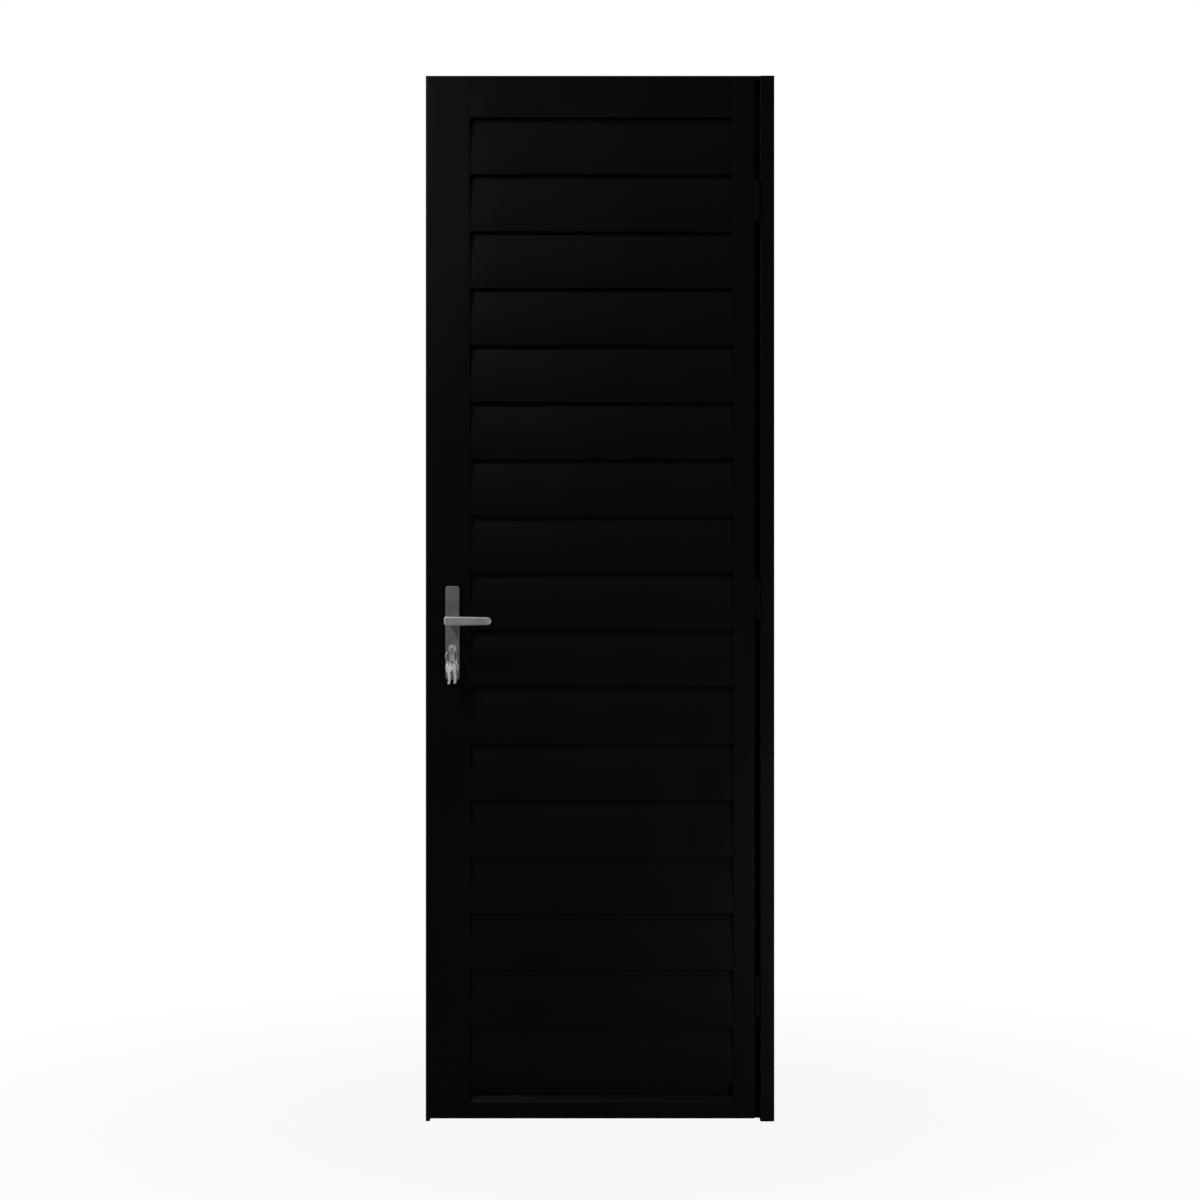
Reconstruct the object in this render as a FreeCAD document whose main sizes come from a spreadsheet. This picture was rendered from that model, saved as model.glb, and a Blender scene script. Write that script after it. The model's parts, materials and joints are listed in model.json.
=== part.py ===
import FreeCAD, Part
import math
import os
import re

import Sketcher

# A louvred aluminium door: a hollow frame of two jambs and a head, and one leaf of hollow stiles and
# rails that carries overlapping convex slats. The leaf hangs on three hinges on its right, and has a
# lever handle and a cylinder lock with a bunch of keys on its left. Millimetres, +X to the right seen
# from outside, +Y into the building, +Z up. The origin is on the hinge jamb's outer face at floor level.

SLAT_COUNT = 17
HINGE_COUNT = 3

SIZES = (
    ("door_width", 700, "across the outer faces of the jambs"),
    ("door_height", 2100, "from the floor to the top of the head"),
    ("frame_depth", 70, "of jambs and head, front to back"),
    ("frame_wall", 1.5, "wall of the frame's hollow sections"),
    ("lock_leg", 8, "lock jamb, across"),
    ("hinge_leg", 28, "hinge jamb beside the leaf's edge"),
    ("head_leg", 8, "head, upwards"),
    ("stop_reach", 20, "door stops past the lock jamb and the head"),
    ("hinge_stop_reach", 27, "door stop past the hinge jamb's leg"),
    ("fixing_radius", 3.5, "fixing hole through a stop and its jamb"),
    ("fixing_margin", 200, "outer fixing holes from the jamb's ends"),
    ("fixing_spread", 600, "between the inner fixing holes"),
    ("lock_seam", 3, "gap between the leaf and the lock jamb"),
    ("head_seam", 3, "gap between the leaf and the head"),
    ("hinge_seam", 12, "groove between the leaf and the hinge jamb"),
    ("stop_gap", 5, "gap between the leaf's back and the stops"),
    ("floor_gap", 6, "gap under the leaf"),
    ("lap_reach", 8, "lap of the leaf's front wall past its lock edge and its top"),
    ("lap_play", 1, "between the lap and the frame behind it"),
    ("leaf_thickness", 30, "of stiles and rails"),
    ("leaf_wall", 1.5, "wall of the leaf's hollow sections"),
    ("lock_stile_width", 77, "lock stile with its lips"),
    ("hinge_stile_width", 42, "hinge stile with its lips"),
    ("channel_depth", 10, "lips of a stile, over the ends of slats and rails"),
    ("top_rail_height", 73, "top rail with its lips"),
    ("rail_lip", 15, "lips of the top rail, over the first slat's top"),
    ("bottom_rail_front", 32, "front face of the bottom rail"),
    ("ledge_rise", 18, "sloped ledge of the bottom rail, upwards"),
    ("ledge_depth", 18, "sloped ledge of the bottom rail, front to back"),
    ("upstand_height", 32, "web of the bottom rail above its ledge"),
    ("lowest_edge", 74, "bottom edge of the last slat above the floor"),
    ("slat_sheet", 1.4, "sheet of a slat"),
    ("slat_inset", 2, "bottom edge of a slat behind the leaf's front"),
    ("slat_rake", 15, "top of a slat behind its bottom edge"),
    ("slat_overlap", 12, "top of a slat above the next one's bottom edge"),
    ("slat_curve", 500, "radius of a slat's convex face"),
    ("slat_return", 5, "drip return at a slat's bottom edge"),
    ("slat_upstand", 6, "upturn behind the drip return"),
    ("slat_flange", 6, "flange at a slat's top"),
    ("hinge_margin", 250, "outer hinges from the door's ends"),
    ("hinge_height", 80, "of a hinge"),
    ("knuckle_height", 26, "of a frame half's knuckle"),
    ("knuckle_radius", 5.5, "of the hinge's barrel"),
    ("knuckle_play", 0.3, "between two knuckles"),
    ("pin_radius", 3, "of the hinge pin"),
    ("pin_play", 0.05, "running clearance round the pin"),
    ("hinge_plate", 2, "thickness of a hinge's flange"),
    ("hinge_flange_depth", 25, "flange behind the hinge's axis"),
    ("hinge_relief", 5, "flange kept back from the other half's knuckle"),
    ("lever_height", 1005, "lever's axis above the floor"),
    ("lever_backset", 43, "lever's axis from the leaf's lock edge"),
    ("plate_width", 28, "of a handle plate"),
    ("plate_above", 70, "handle plate above the lever's axis"),
    ("plate_below", 118, "handle plate below the lever's axis"),
    ("plate_thickness", 8, "of a handle plate"),
    ("plate_corner", 6, "corner radius of a handle plate"),
    ("plate_edge", 1.5, "bevelled front edge of a handle plate"),
    ("spindle_side", 8, "square of the spindle"),
    ("spindle_play", 0.1, "round the spindle in a lever's neck"),
    ("spindle_depth", 24, "spindle inside a lever's neck"),
    ("spindle_hole", 7, "radius of the spindle's hole in plates and stile"),
    ("neck_radius", 8.5, "neck of a lever"),
    ("lever_play", 0.3, "between a lever's neck and its plate"),
    ("lever_standoff", 36, "grip of a lever in front of its plate"),
    ("lever_thickness", 11, "grip of a lever, front to back"),
    ("lever_length", 80, "from the lever's axis to its tip"),
    ("lever_back", 14, "from the lever's axis to the grip's blunt end"),
    ("lever_corner", 5, "corner radius of the blunt end"),
    ("lever_root", 9.5, "half height of the grip at its blunt end"),
    ("lever_tip", 8, "half height of the grip at its tip"),
    ("lever_edge", 2.5, "bevelled edges of the grip"),
    ("cylinder_drop", 56, "lock cylinder's axis below the lever's axis"),
    ("cylinder_radius", 8.5, "round part of the lock cylinder"),
    ("cylinder_web", 10, "width of the lock cylinder's lower part"),
    ("cylinder_tail", 24.5, "foot of the lower part below the cylinder's axis"),
    ("cylinder_proud", 2, "lock cylinder in front of a plate"),
    ("cylinder_play", 0.25, "round the lock cylinder"),
    ("faceplate_width", 20, "of the lock's faceplate"),
    ("faceplate_above", 60, "faceplate above the lever's axis"),
    ("faceplate_below", 110, "faceplate below the lever's axis"),
    ("latch_width", 12, "of the latch bolt, front to back"),
    ("latch_height", 18, "of the latch bolt"),
    ("bolt_width", 10, "of the dead bolt, front to back"),
    ("bolt_height", 34, "of the dead bolt"),
    ("bolt_length", 20, "of both bolts inside the stile"),
    ("strike_margin", 15, "strike plate past the bolts' holes"),
    ("strike_play", 1.5, "round a bolt in the strike plate"),
    ("bow_radius", 12, "bow of a key"),
    ("bow_reach", 16, "centre of the bow in front of the cylinder"),
    ("bow_hole", 3, "radius of the hole in a bow"),
    ("bow_hole_offset", 7.5, "hole from the centre of the bow"),
    ("key_thickness", 2.2, "of a key"),
    ("key_width", 8, "of a key's blade"),
    ("key_length", 22, "of a key's blade"),
    ("key_tip", 3, "bevel at the end of a key's blade"),
    ("keyway_play", 0.2, "round a key's blade in the cylinder"),
    ("ring_radius", 14, "of the key ring"),
    ("ring_wire", 1.3, "side of the key ring's square wire"),
    ("ring_play", 0.9, "between the ring and the key in the lock"),
    ("spare_play", 1.4, "between the ring and a spare key where it hangs"),
    ("ring_yaw", 35, "turn of the ring about the vertical, degrees"),
    ("left_key_swing", 26, "left spare key from the ring's lowest point, degrees"),
    ("right_key_swing", 34, "right spare key from the ring's lowest point, degrees"),
)

# Places that several pieces share, as expressions of the sizes above.
FRONT = "(-frame_depth / 2)"
STOP = f"({FRONT} + leaf_thickness + stop_gap)"
REBATE = f"({FRONT} + leaf_wall + lap_play)"
LEAF_LEFT = "(lock_leg + lock_seam - door_width)"
LEAF_RIGHT = "(-hinge_leg - hinge_seam)"
LEAF_TOP = "(door_height - head_leg - head_seam)"
LEAF_HEIGHT = f"({LEAF_TOP} - floor_gap)"
SLAT_LEFT = f"({LEAF_LEFT} + lock_stile_width - channel_depth)"
SLAT_RIGHT = f"({LEAF_RIGHT} - hinge_stile_width + channel_depth)"
SLAT_LENGTH = f"({SLAT_RIGHT} - {SLAT_LEFT})"
SLAT_PITCH = f"(({LEAF_TOP} - top_rail_height - lowest_edge) / {SLAT_COUNT})"
SLAT_HEIGHT = f"({SLAT_PITCH} + slat_overlap)"
LEVER_AXIS = f"({LEAF_LEFT} + lever_backset)"
CYLINDER_HEIGHT = "(lever_height - cylinder_drop)"
LEAF_MIDDLE = f"({FRONT} + leaf_thickness / 2)"
HINGE_AXIS = "(-hinge_leg - hinge_seam / 2)"

doc = FreeCAD.newDocument("LouvredDoor")
sheet = doc.addObject("Spreadsheet::Sheet", "Sizes")
for row, (alias, size, note) in enumerate(SIZES, start=1):
    sheet.set(f"A{row}", note)
    sheet.set(f"B{row}", str(size))
    sheet.setAlias(f"B{row}", alias)
doc.recompute()

pieces = []


def cells(text):
    """Expression text with the name of each size pointed at its cell."""
    return re.sub(r"\b[a-z]+(?:_[a-z]+)+\b", r"Sizes.\g<0>", text)


def number(text):
    """Present value of an expression."""
    return float(sheet.evalExpression(cells(text)))


def new_body(label, x="0", y="0", z="0", yaw=None):
    """Body of one piece, placed by expressions and turned about the vertical by yaw."""
    body = doc.addObject("PartDesign::Body", label)
    body.Label = label
    for axis, place in zip("xyz", (x, y, z)):
        body.setExpression(f"Placement.Base.{axis}", cells(place))
    if yaw:
        body.Placement.Rotation = FreeCAD.Rotation(FreeCAD.Vector(0, 0, 1), 0)
        body.setExpression("Placement.Rotation.Angle", cells(yaw))
    pieces.append(body)
    return body


def new_sketch(body, role, level="0"):
    """Sketch on one of the body's origin planes, raised along the plane's normal by level."""
    sketch = body.newObject("Sketcher::SketchObject", f"{body.Label}_outline")
    plane = next(item for item in body.Origin.OriginFeatures if item.Role == role)
    sketch.AttachmentSupport = [(plane, "")]
    sketch.MapMode = "FlatFace"
    sketch.setExpression("AttachmentOffset.Base.z", cells(level))
    return sketch


def hold(sketch, kind, *ends, text):
    """Constraint whose size is an expression."""
    index = sketch.addConstraint(Sketcher.Constraint(kind, *ends, number(text)))
    sketch.setExpression(f"Constraints[{index}]", cells(text))


def draw_side(sketch, here, there, radius, bulge):
    """Line or arc from here to there: its index, and which of its ends lie here and there."""
    if radius is None:
        return sketch.addGeometry(Part.LineSegment(here, there)), 1, 2
    chord = there - here
    left = FreeCAD.Vector(-chord.y, chord.x, 0).normalize()
    reach = math.sqrt(max(radius ** 2 - (chord.Length / 2) ** 2, 0))
    centre = (here + there) * 0.5 - left * (bulge * reach)
    first, last = (there, here) if bulge > 0 else (here, there)
    start = math.atan2(first.y - centre.y, first.x - centre.x)
    end = math.atan2(last.y - centre.y, last.x - centre.x)
    if end < start:
        end += 2 * math.pi
    circle = Part.Circle(centre, FreeCAD.Vector(0, 0, 1), radius)
    index = sketch.addGeometry(Part.ArcOfCircle(circle, start, end))
    return (index, 2, 1) if bulge > 0 else (index, 1, 2)


def draw_loop(sketch, corners):
    """Closed outline through corners (across, up) or (across, up, radius, bulge).

    A radius makes the side to the next corner an arc, which bulges to the left of the way there
    for a bulge of 1 and to the right for -1.
    """
    points = [FreeCAD.Vector(number(corner[0]), number(corner[1]), 0) for corner in corners]
    sides = []
    for index, corner in enumerate(corners):
        following = points[(index + 1) % len(points)]
        radius, bulge = (number(corner[2]), corner[3]) if len(corner) > 2 else (None, 0)
        sides.append(draw_side(sketch, points[index], following, radius, bulge))
    for index, corner in enumerate(corners):
        side, near, far = sides[index]
        before, _, before_far = sides[index - 1]
        sketch.addConstraint(Sketcher.Constraint("Coincident", before, before_far, side, near))
        hold(sketch, "DistanceX", -1, 1, side, near, text=corner[0])
        hold(sketch, "DistanceY", -1, 1, side, near, text=corner[1])
        if len(corner) > 2:
            hold(sketch, "Radius", side, text=corner[2])


def draw_circle(sketch, across, up, radius):
    """Circle held by its centre and radius."""
    centre = FreeCAD.Vector(number(across), number(up), 0)
    index = sketch.addGeometry(Part.Circle(centre, FreeCAD.Vector(0, 0, 1), number(radius)))
    hold(sketch, "DistanceX", -1, 1, index, 3, text=across)
    hold(sketch, "DistanceY", -1, 1, index, 3, text=up)
    hold(sketch, "Radius", index, text=radius)


def rectangle(left, bottom, right, top):
    """Corners of a rectangle, anticlockwise."""
    return [(left, bottom), (right, bottom), (right, top), (left, top)]


def rounded_rectangle(left, bottom, right, top, radius):
    """Corners of a rectangle with round corners, anticlockwise."""
    return [
        (f"{left} + {radius}", bottom),
        (f"{right} - {radius}", bottom, radius, -1),
        (right, f"{bottom} + {radius}"),
        (right, f"{top} - {radius}", radius, -1),
        (f"{right} - {radius}", top),
        (f"{left} + {radius}", top, radius, -1),
        (left, f"{top} - {radius}"),
        (left, f"{bottom} + {radius}", radius, -1),
    ]


def inset(corners, wall):
    """Corners of a square-cornered outline, anticlockwise, moved inwards by a wall."""
    points = [FreeCAD.Vector(number(across), number(up), 0) for across, up in corners]
    moved = []
    for index, (across, up) in enumerate(corners):
        arriving = points[index] - points[index - 1]
        leaving = points[(index + 1) % len(points)] - points[index]
        inward = FreeCAD.Vector(-arriving.y - leaving.y, arriving.x + leaving.x, 0)
        side = "+" if inward.x > 0 else "-"
        rise = "+" if inward.y > 0 else "-"
        moved.append((f"{across} {side} {wall}", f"{up} {rise} {wall}"))
    return moved


def keyhole(play):
    """Outline of the lock cylinder's section about its axis, widened all round by play."""
    radius = f"(cylinder_radius + {play})"
    half = f"(cylinder_web / 2 + {play})"
    shoulder = f"(-sqrt({radius} * {radius} - {half} * {half}))"
    foot = f"(-cylinder_tail - {play})"
    return [
        (f"-{half}", foot),
        (half, foot),
        (half, shoulder, radius, -1),
        ("0", radius, radius, -1),
        (f"-{half}", shoulder),
    ]


def pad(body, sketch, length, backwards=False):
    """Extrusion of a sketch along its plane's normal, or against it."""
    feature = body.newObject("PartDesign::Pad", f"{body.Label}_pad")
    feature.Profile = sketch
    feature.setExpression("Length", cells(length))
    feature.Reversed = backwards
    sketch.Visibility = False
    return feature


def pocket(body, sketch, depth=None, backwards=False):
    """Cut of a sketch against its plane's normal, or along it, to a depth or right through."""
    feature = body.newObject("PartDesign::Pocket", f"{body.Label}_pocket")
    feature.Profile = sketch
    if depth is None:
        feature.Type = "ThroughAll"
    else:
        feature.setExpression("Length", cells(depth))
    feature.Reversed = backwards
    sketch.Visibility = False
    return feature


def bevel_edges(body, base, at_y, width):
    """Chamfer along the edges of base that lie on the plane y = at_y of the body."""
    doc.recompute()
    level = number(at_y)
    names = [
        f"Edge{index}"
        for index, edge in enumerate(base.Shape.Edges, start=1)
        if all(abs(vertex.Point.y - level) < 1e-4 for vertex in edge.Vertexes)
    ]
    feature = body.newObject("PartDesign::Chamfer", f"{body.Label}_chamfer")
    feature.Base = (base, names)
    feature.setExpression("Size", cells(width))
    return feature


def extrude(body, role, loops, length, level="0", backwards=False):
    """Pad of several loops drawn in one sketch on an origin plane."""
    sketch = new_sketch(body, role, level)
    for loop in loops:
        draw_loop(sketch, loop)
    return pad(body, sketch, length, backwards)


def fixing_holes(body, sketch_level):
    """Four holes across a jamb or its stop, through both walls."""
    sketch = new_sketch(body, "YZ_Plane", sketch_level)
    middle = f"({STOP} + frame_depth / 2) / 2"
    heights = (
        "fixing_margin",
        "(door_height - fixing_spread) / 2",
        "(door_height + fixing_spread) / 2",
        "door_height - fixing_margin",
    )
    for height in heights:
        draw_circle(sketch, middle, height, "fixing_radius")
    return pocket(body, sketch)


def bolt_rows():
    """Height range and depth range of the latch's and the dead bolt's sections."""
    return (
        ("lever_height", "latch_height", "latch_width"),
        (CYLINDER_HEIGHT, "bolt_height", "bolt_width"),
    )


def bolt_section(height, tall, wide, play="0"):
    """Outline of a bolt's section, depth across and height up."""
    return rectangle(
        f"{LEAF_MIDDLE} - {wide} / 2 - {play}",
        f"{height} - {tall} / 2 - {play}",
        f"{LEAF_MIDDLE} + {wide} / 2 + {play}",
        f"{height} + {tall} / 2 + {play}",
    )


def faceplate_outline():
    """Outline of the lock's faceplate, depth across and height up."""
    return rectangle(
        f"{LEAF_MIDDLE} - faceplate_width / 2",
        "lever_height - faceplate_below",
        f"{LEAF_MIDDLE} + faceplate_width / 2",
        "lever_height + faceplate_above",
    )


def strike_outline():
    """Outline of the strike plate, depth across and height up."""
    return rectangle(
        f"{LEAF_MIDDLE} - faceplate_width / 2",
        f"{CYLINDER_HEIGHT} - bolt_height / 2 - strike_margin",
        f"{LEAF_MIDDLE} + faceplate_width / 2",
        "lever_height + latch_height / 2 + strike_margin",
    )


def channel(width, depth_start, depth_end, wall):
    """Corners of a channel, open at 0 across and closed at width, anticlockwise."""
    web = f"{width} - {wall}"
    return [
        ("0", depth_start),
        (width, depth_start),
        (width, depth_end),
        ("0", depth_end),
        ("0", f"{depth_end} - {wall}"),
        (web, f"{depth_end} - {wall}"),
        (web, f"{depth_start} + {wall}"),
        ("0", f"{depth_start} + {wall}"),
    ]


def make_jambs():
    """Hollow jambs from the floor to the top of the head, and the lock jamb's stop under the head."""
    back = "(frame_depth / 2)"
    hinge_stop = "(-hinge_leg - hinge_stop_reach)"
    section = [
        ("0", FRONT),
        ("0", back),
        (hinge_stop, back),
        (hinge_stop, STOP),
        ("-hinge_leg", STOP),
        ("-hinge_leg", FRONT),
    ]
    hinge_jamb = new_body("hinge_jamb")
    extrude(hinge_jamb, "XY_Plane", (section, inset(section, "frame_wall")), "door_height")
    fixing_holes(hinge_jamb, "0")

    lock_stop = new_body("lock_stop", x="lock_leg - door_width")
    section = channel("stop_reach", STOP, back, "frame_wall")
    extrude(lock_stop, "XY_Plane", (section,), "door_height - head_leg")
    fixing_holes(lock_stop, "stop_reach")

    section = rectangle("0", REBATE, "lock_leg", back)
    lock_jamb = new_body("lock_jamb", x="-door_width")
    extrude(lock_jamb, "XY_Plane", (section, inset(section, "frame_wall")), "door_height")
    fixing_holes(lock_jamb, "lock_leg")
    window = new_sketch(lock_jamb, "YZ_Plane", "lock_leg")
    draw_loop(window, strike_outline())
    pocket(lock_jamb, window, "frame_wall")

    strike = new_body("strike_plate", x="-door_width")
    holes = [bolt_section(*row, play="strike_play") for row in bolt_rows()]
    extrude(strike, "YZ_Plane", (strike_outline(), *holes), "frame_wall", "lock_leg", backwards=True)


def make_head():
    """Hollow head between the jambs, cut back where the hinge jamb's stop runs up, and the stop under it."""
    lower = "(door_height - head_leg)"
    back = "(frame_depth / 2)"
    left = "(lock_leg - door_width)"
    hinge_stop = "(-hinge_leg - hinge_stop_reach)"
    section = rectangle(REBATE, lower, back, "door_height")
    head = new_body("head")
    loops = (section, inset(section, "frame_wall"))
    extrude(head, "YZ_Plane", loops, f"-hinge_leg - {left}", left)
    corner = new_sketch(head, "XY_Plane", "door_height")
    draw_loop(corner, rectangle(hinge_stop, STOP, "-hinge_leg", back))
    pocket(head, corner)

    stop_left = f"({left} + stop_reach)"
    head_stop = new_body("head_stop", z=lower)
    section = [(depth, f"-({down})") for down, depth in channel("stop_reach", STOP, back, "frame_wall")]
    extrude(head_stop, "YZ_Plane", (section,), f"{hinge_stop} - {stop_left}", stop_left)


def stile_section(width, lap="0"):
    """Tube from 0 to width across, with two lips beside the slats and the front lapped past 0."""
    tube = f"({width} - channel_depth)"
    rear = "(leaf_thickness - leaf_wall)"
    lapped = [("0", "leaf_wall"), (f"-{lap}", "leaf_wall"), (f"-{lap}", "0")]
    outer = [
        *(lapped if number(lap) else [("0", "0")]),
        (width, "0"),
        (width, "leaf_wall"),
        (tube, "leaf_wall"),
        (tube, rear),
        (width, rear),
        (width, "leaf_thickness"),
        ("0", "leaf_thickness"),
    ]
    bore = rectangle("leaf_wall", "leaf_wall", f"{tube} - leaf_wall", rear)
    return outer, bore


def mirrored(corners):
    """Square-cornered outline turned left to right, still anticlockwise."""
    return [(f"-({across})", up) for across, up in reversed(corners)]


def make_stiles():
    """Stiles of the leaf: the lock stile is cut for the handle, the cylinder and the faceplate."""
    lock_stile = new_body("lock_stile", LEAF_LEFT, FRONT, "floor_gap")
    extrude(lock_stile, "XY_Plane", stile_section("lock_stile_width", "lap_reach"), LEAF_HEIGHT)
    head_lap = rectangle("-lap_reach", "0", "lock_stile_width", "leaf_wall")
    extrude(lock_stile, "XY_Plane", (head_lap,), "lap_reach", LEAF_HEIGHT)
    through = new_sketch(lock_stile, "XZ_Plane")
    draw_circle(through, "lever_backset", "lever_height - floor_gap", "spindle_hole")
    shifted = [
        (f"lever_backset + {corner[0]}", f"{CYLINDER_HEIGHT} - floor_gap + {corner[1]}", *corner[2:])
        for corner in keyhole("cylinder_play")
    ]
    draw_loop(through, shifted)
    pocket(lock_stile, through)
    window = new_sketch(lock_stile, "YZ_Plane")
    draw_loop(window, [(f"{y} - {FRONT}", f"{z} - floor_gap") for y, z in faceplate_outline()])
    pocket(lock_stile, window, "leaf_wall", backwards=True)

    hinge_stile = new_body("hinge_stile", LEAF_RIGHT, FRONT, "floor_gap")
    loops = [mirrored(loop) for loop in stile_section("hinge_stile_width")]
    extrude(hinge_stile, "XY_Plane", loops, LEAF_HEIGHT)
    head_lap = mirrored(rectangle("0", "0", "hinge_stile_width", "leaf_wall"))
    extrude(hinge_stile, "XY_Plane", (head_lap,), "lap_reach", LEAF_HEIGHT)


def notch_ends(body, height):
    """Cuts a rail's front and back walls away under the stiles' lips."""
    sketch = new_sketch(body, "XY_Plane", height)
    for left in ("0", f"{SLAT_LENGTH} - channel_depth"):
        for front in ("0", "leaf_thickness - leaf_wall"):
            draw_loop(sketch, rectangle(left, front, f"{left} + channel_depth", f"{front} + leaf_wall"))
    pocket(body, sketch)


def make_rails():
    """Top rail with lips over the first slat, and bottom rail with a sloped ledge and a web behind."""
    rear = "(leaf_thickness - leaf_wall)"
    lap_top = "(top_rail_height + lap_reach)"
    outer = [
        ("0", "0"),
        ("leaf_wall", "0"),
        ("leaf_wall", "rail_lip"),
        (rear, "rail_lip"),
        (rear, "0"),
        ("leaf_thickness", "0"),
        ("leaf_thickness", "top_rail_height"),
        ("leaf_wall", "top_rail_height"),
        ("leaf_wall", lap_top),
        ("0", lap_top),
    ]
    bore = rectangle("leaf_wall", "rail_lip + leaf_wall", rear, "top_rail_height - leaf_wall")
    top_rail = new_body("top_rail", SLAT_LEFT, FRONT, f"{LEAF_TOP} - top_rail_height")
    extrude(top_rail, "YZ_Plane", (outer, bore), SLAT_LENGTH)
    notch_ends(top_rail, lap_top)

    ledge_top = "(bottom_rail_front + ledge_rise)"
    web_top = f"({ledge_top} + upstand_height)"
    outer = [
        ("0", "0"),
        ("leaf_thickness", "0"),
        ("leaf_thickness", ledge_top),
        ("ledge_depth + leaf_wall", ledge_top),
        ("ledge_depth + leaf_wall", web_top),
        ("ledge_depth", web_top),
        ("ledge_depth", ledge_top),
        ("0", "bottom_rail_front"),
    ]
    bore = [
        ("leaf_wall", "leaf_wall"),
        (rear, "leaf_wall"),
        (rear, f"{ledge_top} - leaf_wall"),
        ("ledge_depth + leaf_wall", f"{ledge_top} - leaf_wall"),
        ("leaf_wall", "bottom_rail_front - leaf_wall"),
    ]
    bottom_rail = new_body("bottom_rail", SLAT_LEFT, FRONT, "floor_gap")
    extrude(bottom_rail, "YZ_Plane", (outer, bore), SLAT_LENGTH)
    notch_ends(bottom_rail, web_top)


def make_slats():
    """Convex slats from the top down, each top tucked behind the slat above."""
    inner_top = f"({SLAT_HEIGHT} - slat_sheet)"
    section = [
        ("0", "0"),
        ("slat_return", "0"),
        ("slat_return", "slat_upstand"),
        ("slat_return - slat_sheet", "slat_upstand"),
        ("slat_return - slat_sheet", "slat_sheet"),
        ("slat_sheet", "slat_sheet", "slat_curve", 1),
        ("slat_rake + slat_sheet", inner_top),
        ("slat_rake + slat_flange", inner_top),
        ("slat_rake + slat_flange", SLAT_HEIGHT),
        ("slat_rake", SLAT_HEIGHT, "slat_curve", -1),
    ]
    for index in range(1, SLAT_COUNT + 1):
        lowest = f"{LEAF_TOP} - top_rail_height - {index} * {SLAT_PITCH}"
        slat = new_body(f"slat_{index:02d}", SLAT_LEFT, f"{FRONT} + slat_inset", lowest)
        extrude(slat, "YZ_Plane", (section,), SLAT_LENGTH)


def make_hinges():
    """Hinges with two knuckles and the pin on the frame half and one knuckle on the leaf half."""
    face = "(hinge_seam / 2)"
    inner = "(hinge_seam / 2 - hinge_plate)"
    upper = "(hinge_height - knuckle_height)"
    leaf_knuckle = "(hinge_height - 2 * knuckle_height - 2 * knuckle_play)"
    strap = rectangle(inner, "0", face, "hinge_relief")
    flange = rectangle(inner, "hinge_relief", face, "hinge_flange_depth")
    for index in range(HINGE_COUNT):
        span = f"(door_height - 2 * hinge_margin) * {index} / {HINGE_COUNT - 1}"
        foot = f"hinge_margin + {span} - hinge_height / 2"

        frame_half = new_body(f"hinge_frame_half_{index + 1}", HINGE_AXIS, FRONT, foot)
        extrude(frame_half, "XY_Plane", (flange,), "hinge_height")
        for level in ("0", upper):
            extrude(frame_half, "XY_Plane", (strap,), "knuckle_height", level)
            barrel = new_sketch(frame_half, "XY_Plane", level)
            draw_circle(barrel, "0", "0", "knuckle_radius")
            pad(frame_half, barrel, "knuckle_height")
        pin = new_sketch(frame_half, "XY_Plane")
        draw_circle(pin, "0", "0", "pin_radius")
        pad(frame_half, pin, "hinge_height")

        leaf_half = new_body(f"hinge_leaf_half_{index + 1}", HINGE_AXIS, FRONT, foot)
        extrude(leaf_half, "XY_Plane", (mirrored(flange),), "hinge_height")
        level = "knuckle_height + knuckle_play"
        extrude(leaf_half, "XY_Plane", (mirrored(strap),), leaf_knuckle, level)
        barrel = new_sketch(leaf_half, "XY_Plane", level)
        draw_circle(barrel, "0", "0", "knuckle_radius")
        pad(leaf_half, barrel, leaf_knuckle)
        bore = new_sketch(leaf_half, "XY_Plane", "hinge_height")
        draw_circle(bore, "0", "0", "pin_radius + pin_play")
        pocket(leaf_half, bore)


def make_lock():
    """Lock cylinder through the stile, faceplate in the stile's edge, and the two drawn-in bolts."""
    front = f"{FRONT} - plate_thickness - cylinder_proud"
    reach = "(leaf_thickness + 2 * plate_thickness + 2 * cylinder_proud)"
    cylinder = new_body("lock_cylinder", LEVER_AXIS, front, CYLINDER_HEIGHT)
    extrude(cylinder, "XZ_Plane", (keyhole("0"),), reach, backwards=True)
    half = "(key_thickness / 2 + keyway_play)"
    tall = "(key_width / 2 + keyway_play)"
    slot = rectangle(f"-{half}", f"-{tall}", half, tall)
    for level, backwards in (("0", False), (f"-{reach}", True)):
        keyway = new_sketch(cylinder, "XZ_Plane", level)
        draw_loop(keyway, slot)
        pocket(cylinder, keyway, "key_length + keyway_play", backwards)

    faceplate = new_body("lock_faceplate", LEAF_LEFT)
    holes = [bolt_section(*row) for row in bolt_rows()]
    extrude(faceplate, "YZ_Plane", (faceplate_outline(), *holes), "leaf_wall")
    for label, row in zip(("latch_bolt", "dead_bolt"), bolt_rows()):
        bolt = new_body(label, LEAF_LEFT)
        extrude(bolt, "YZ_Plane", (bolt_section(*row),), "bolt_length")


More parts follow.
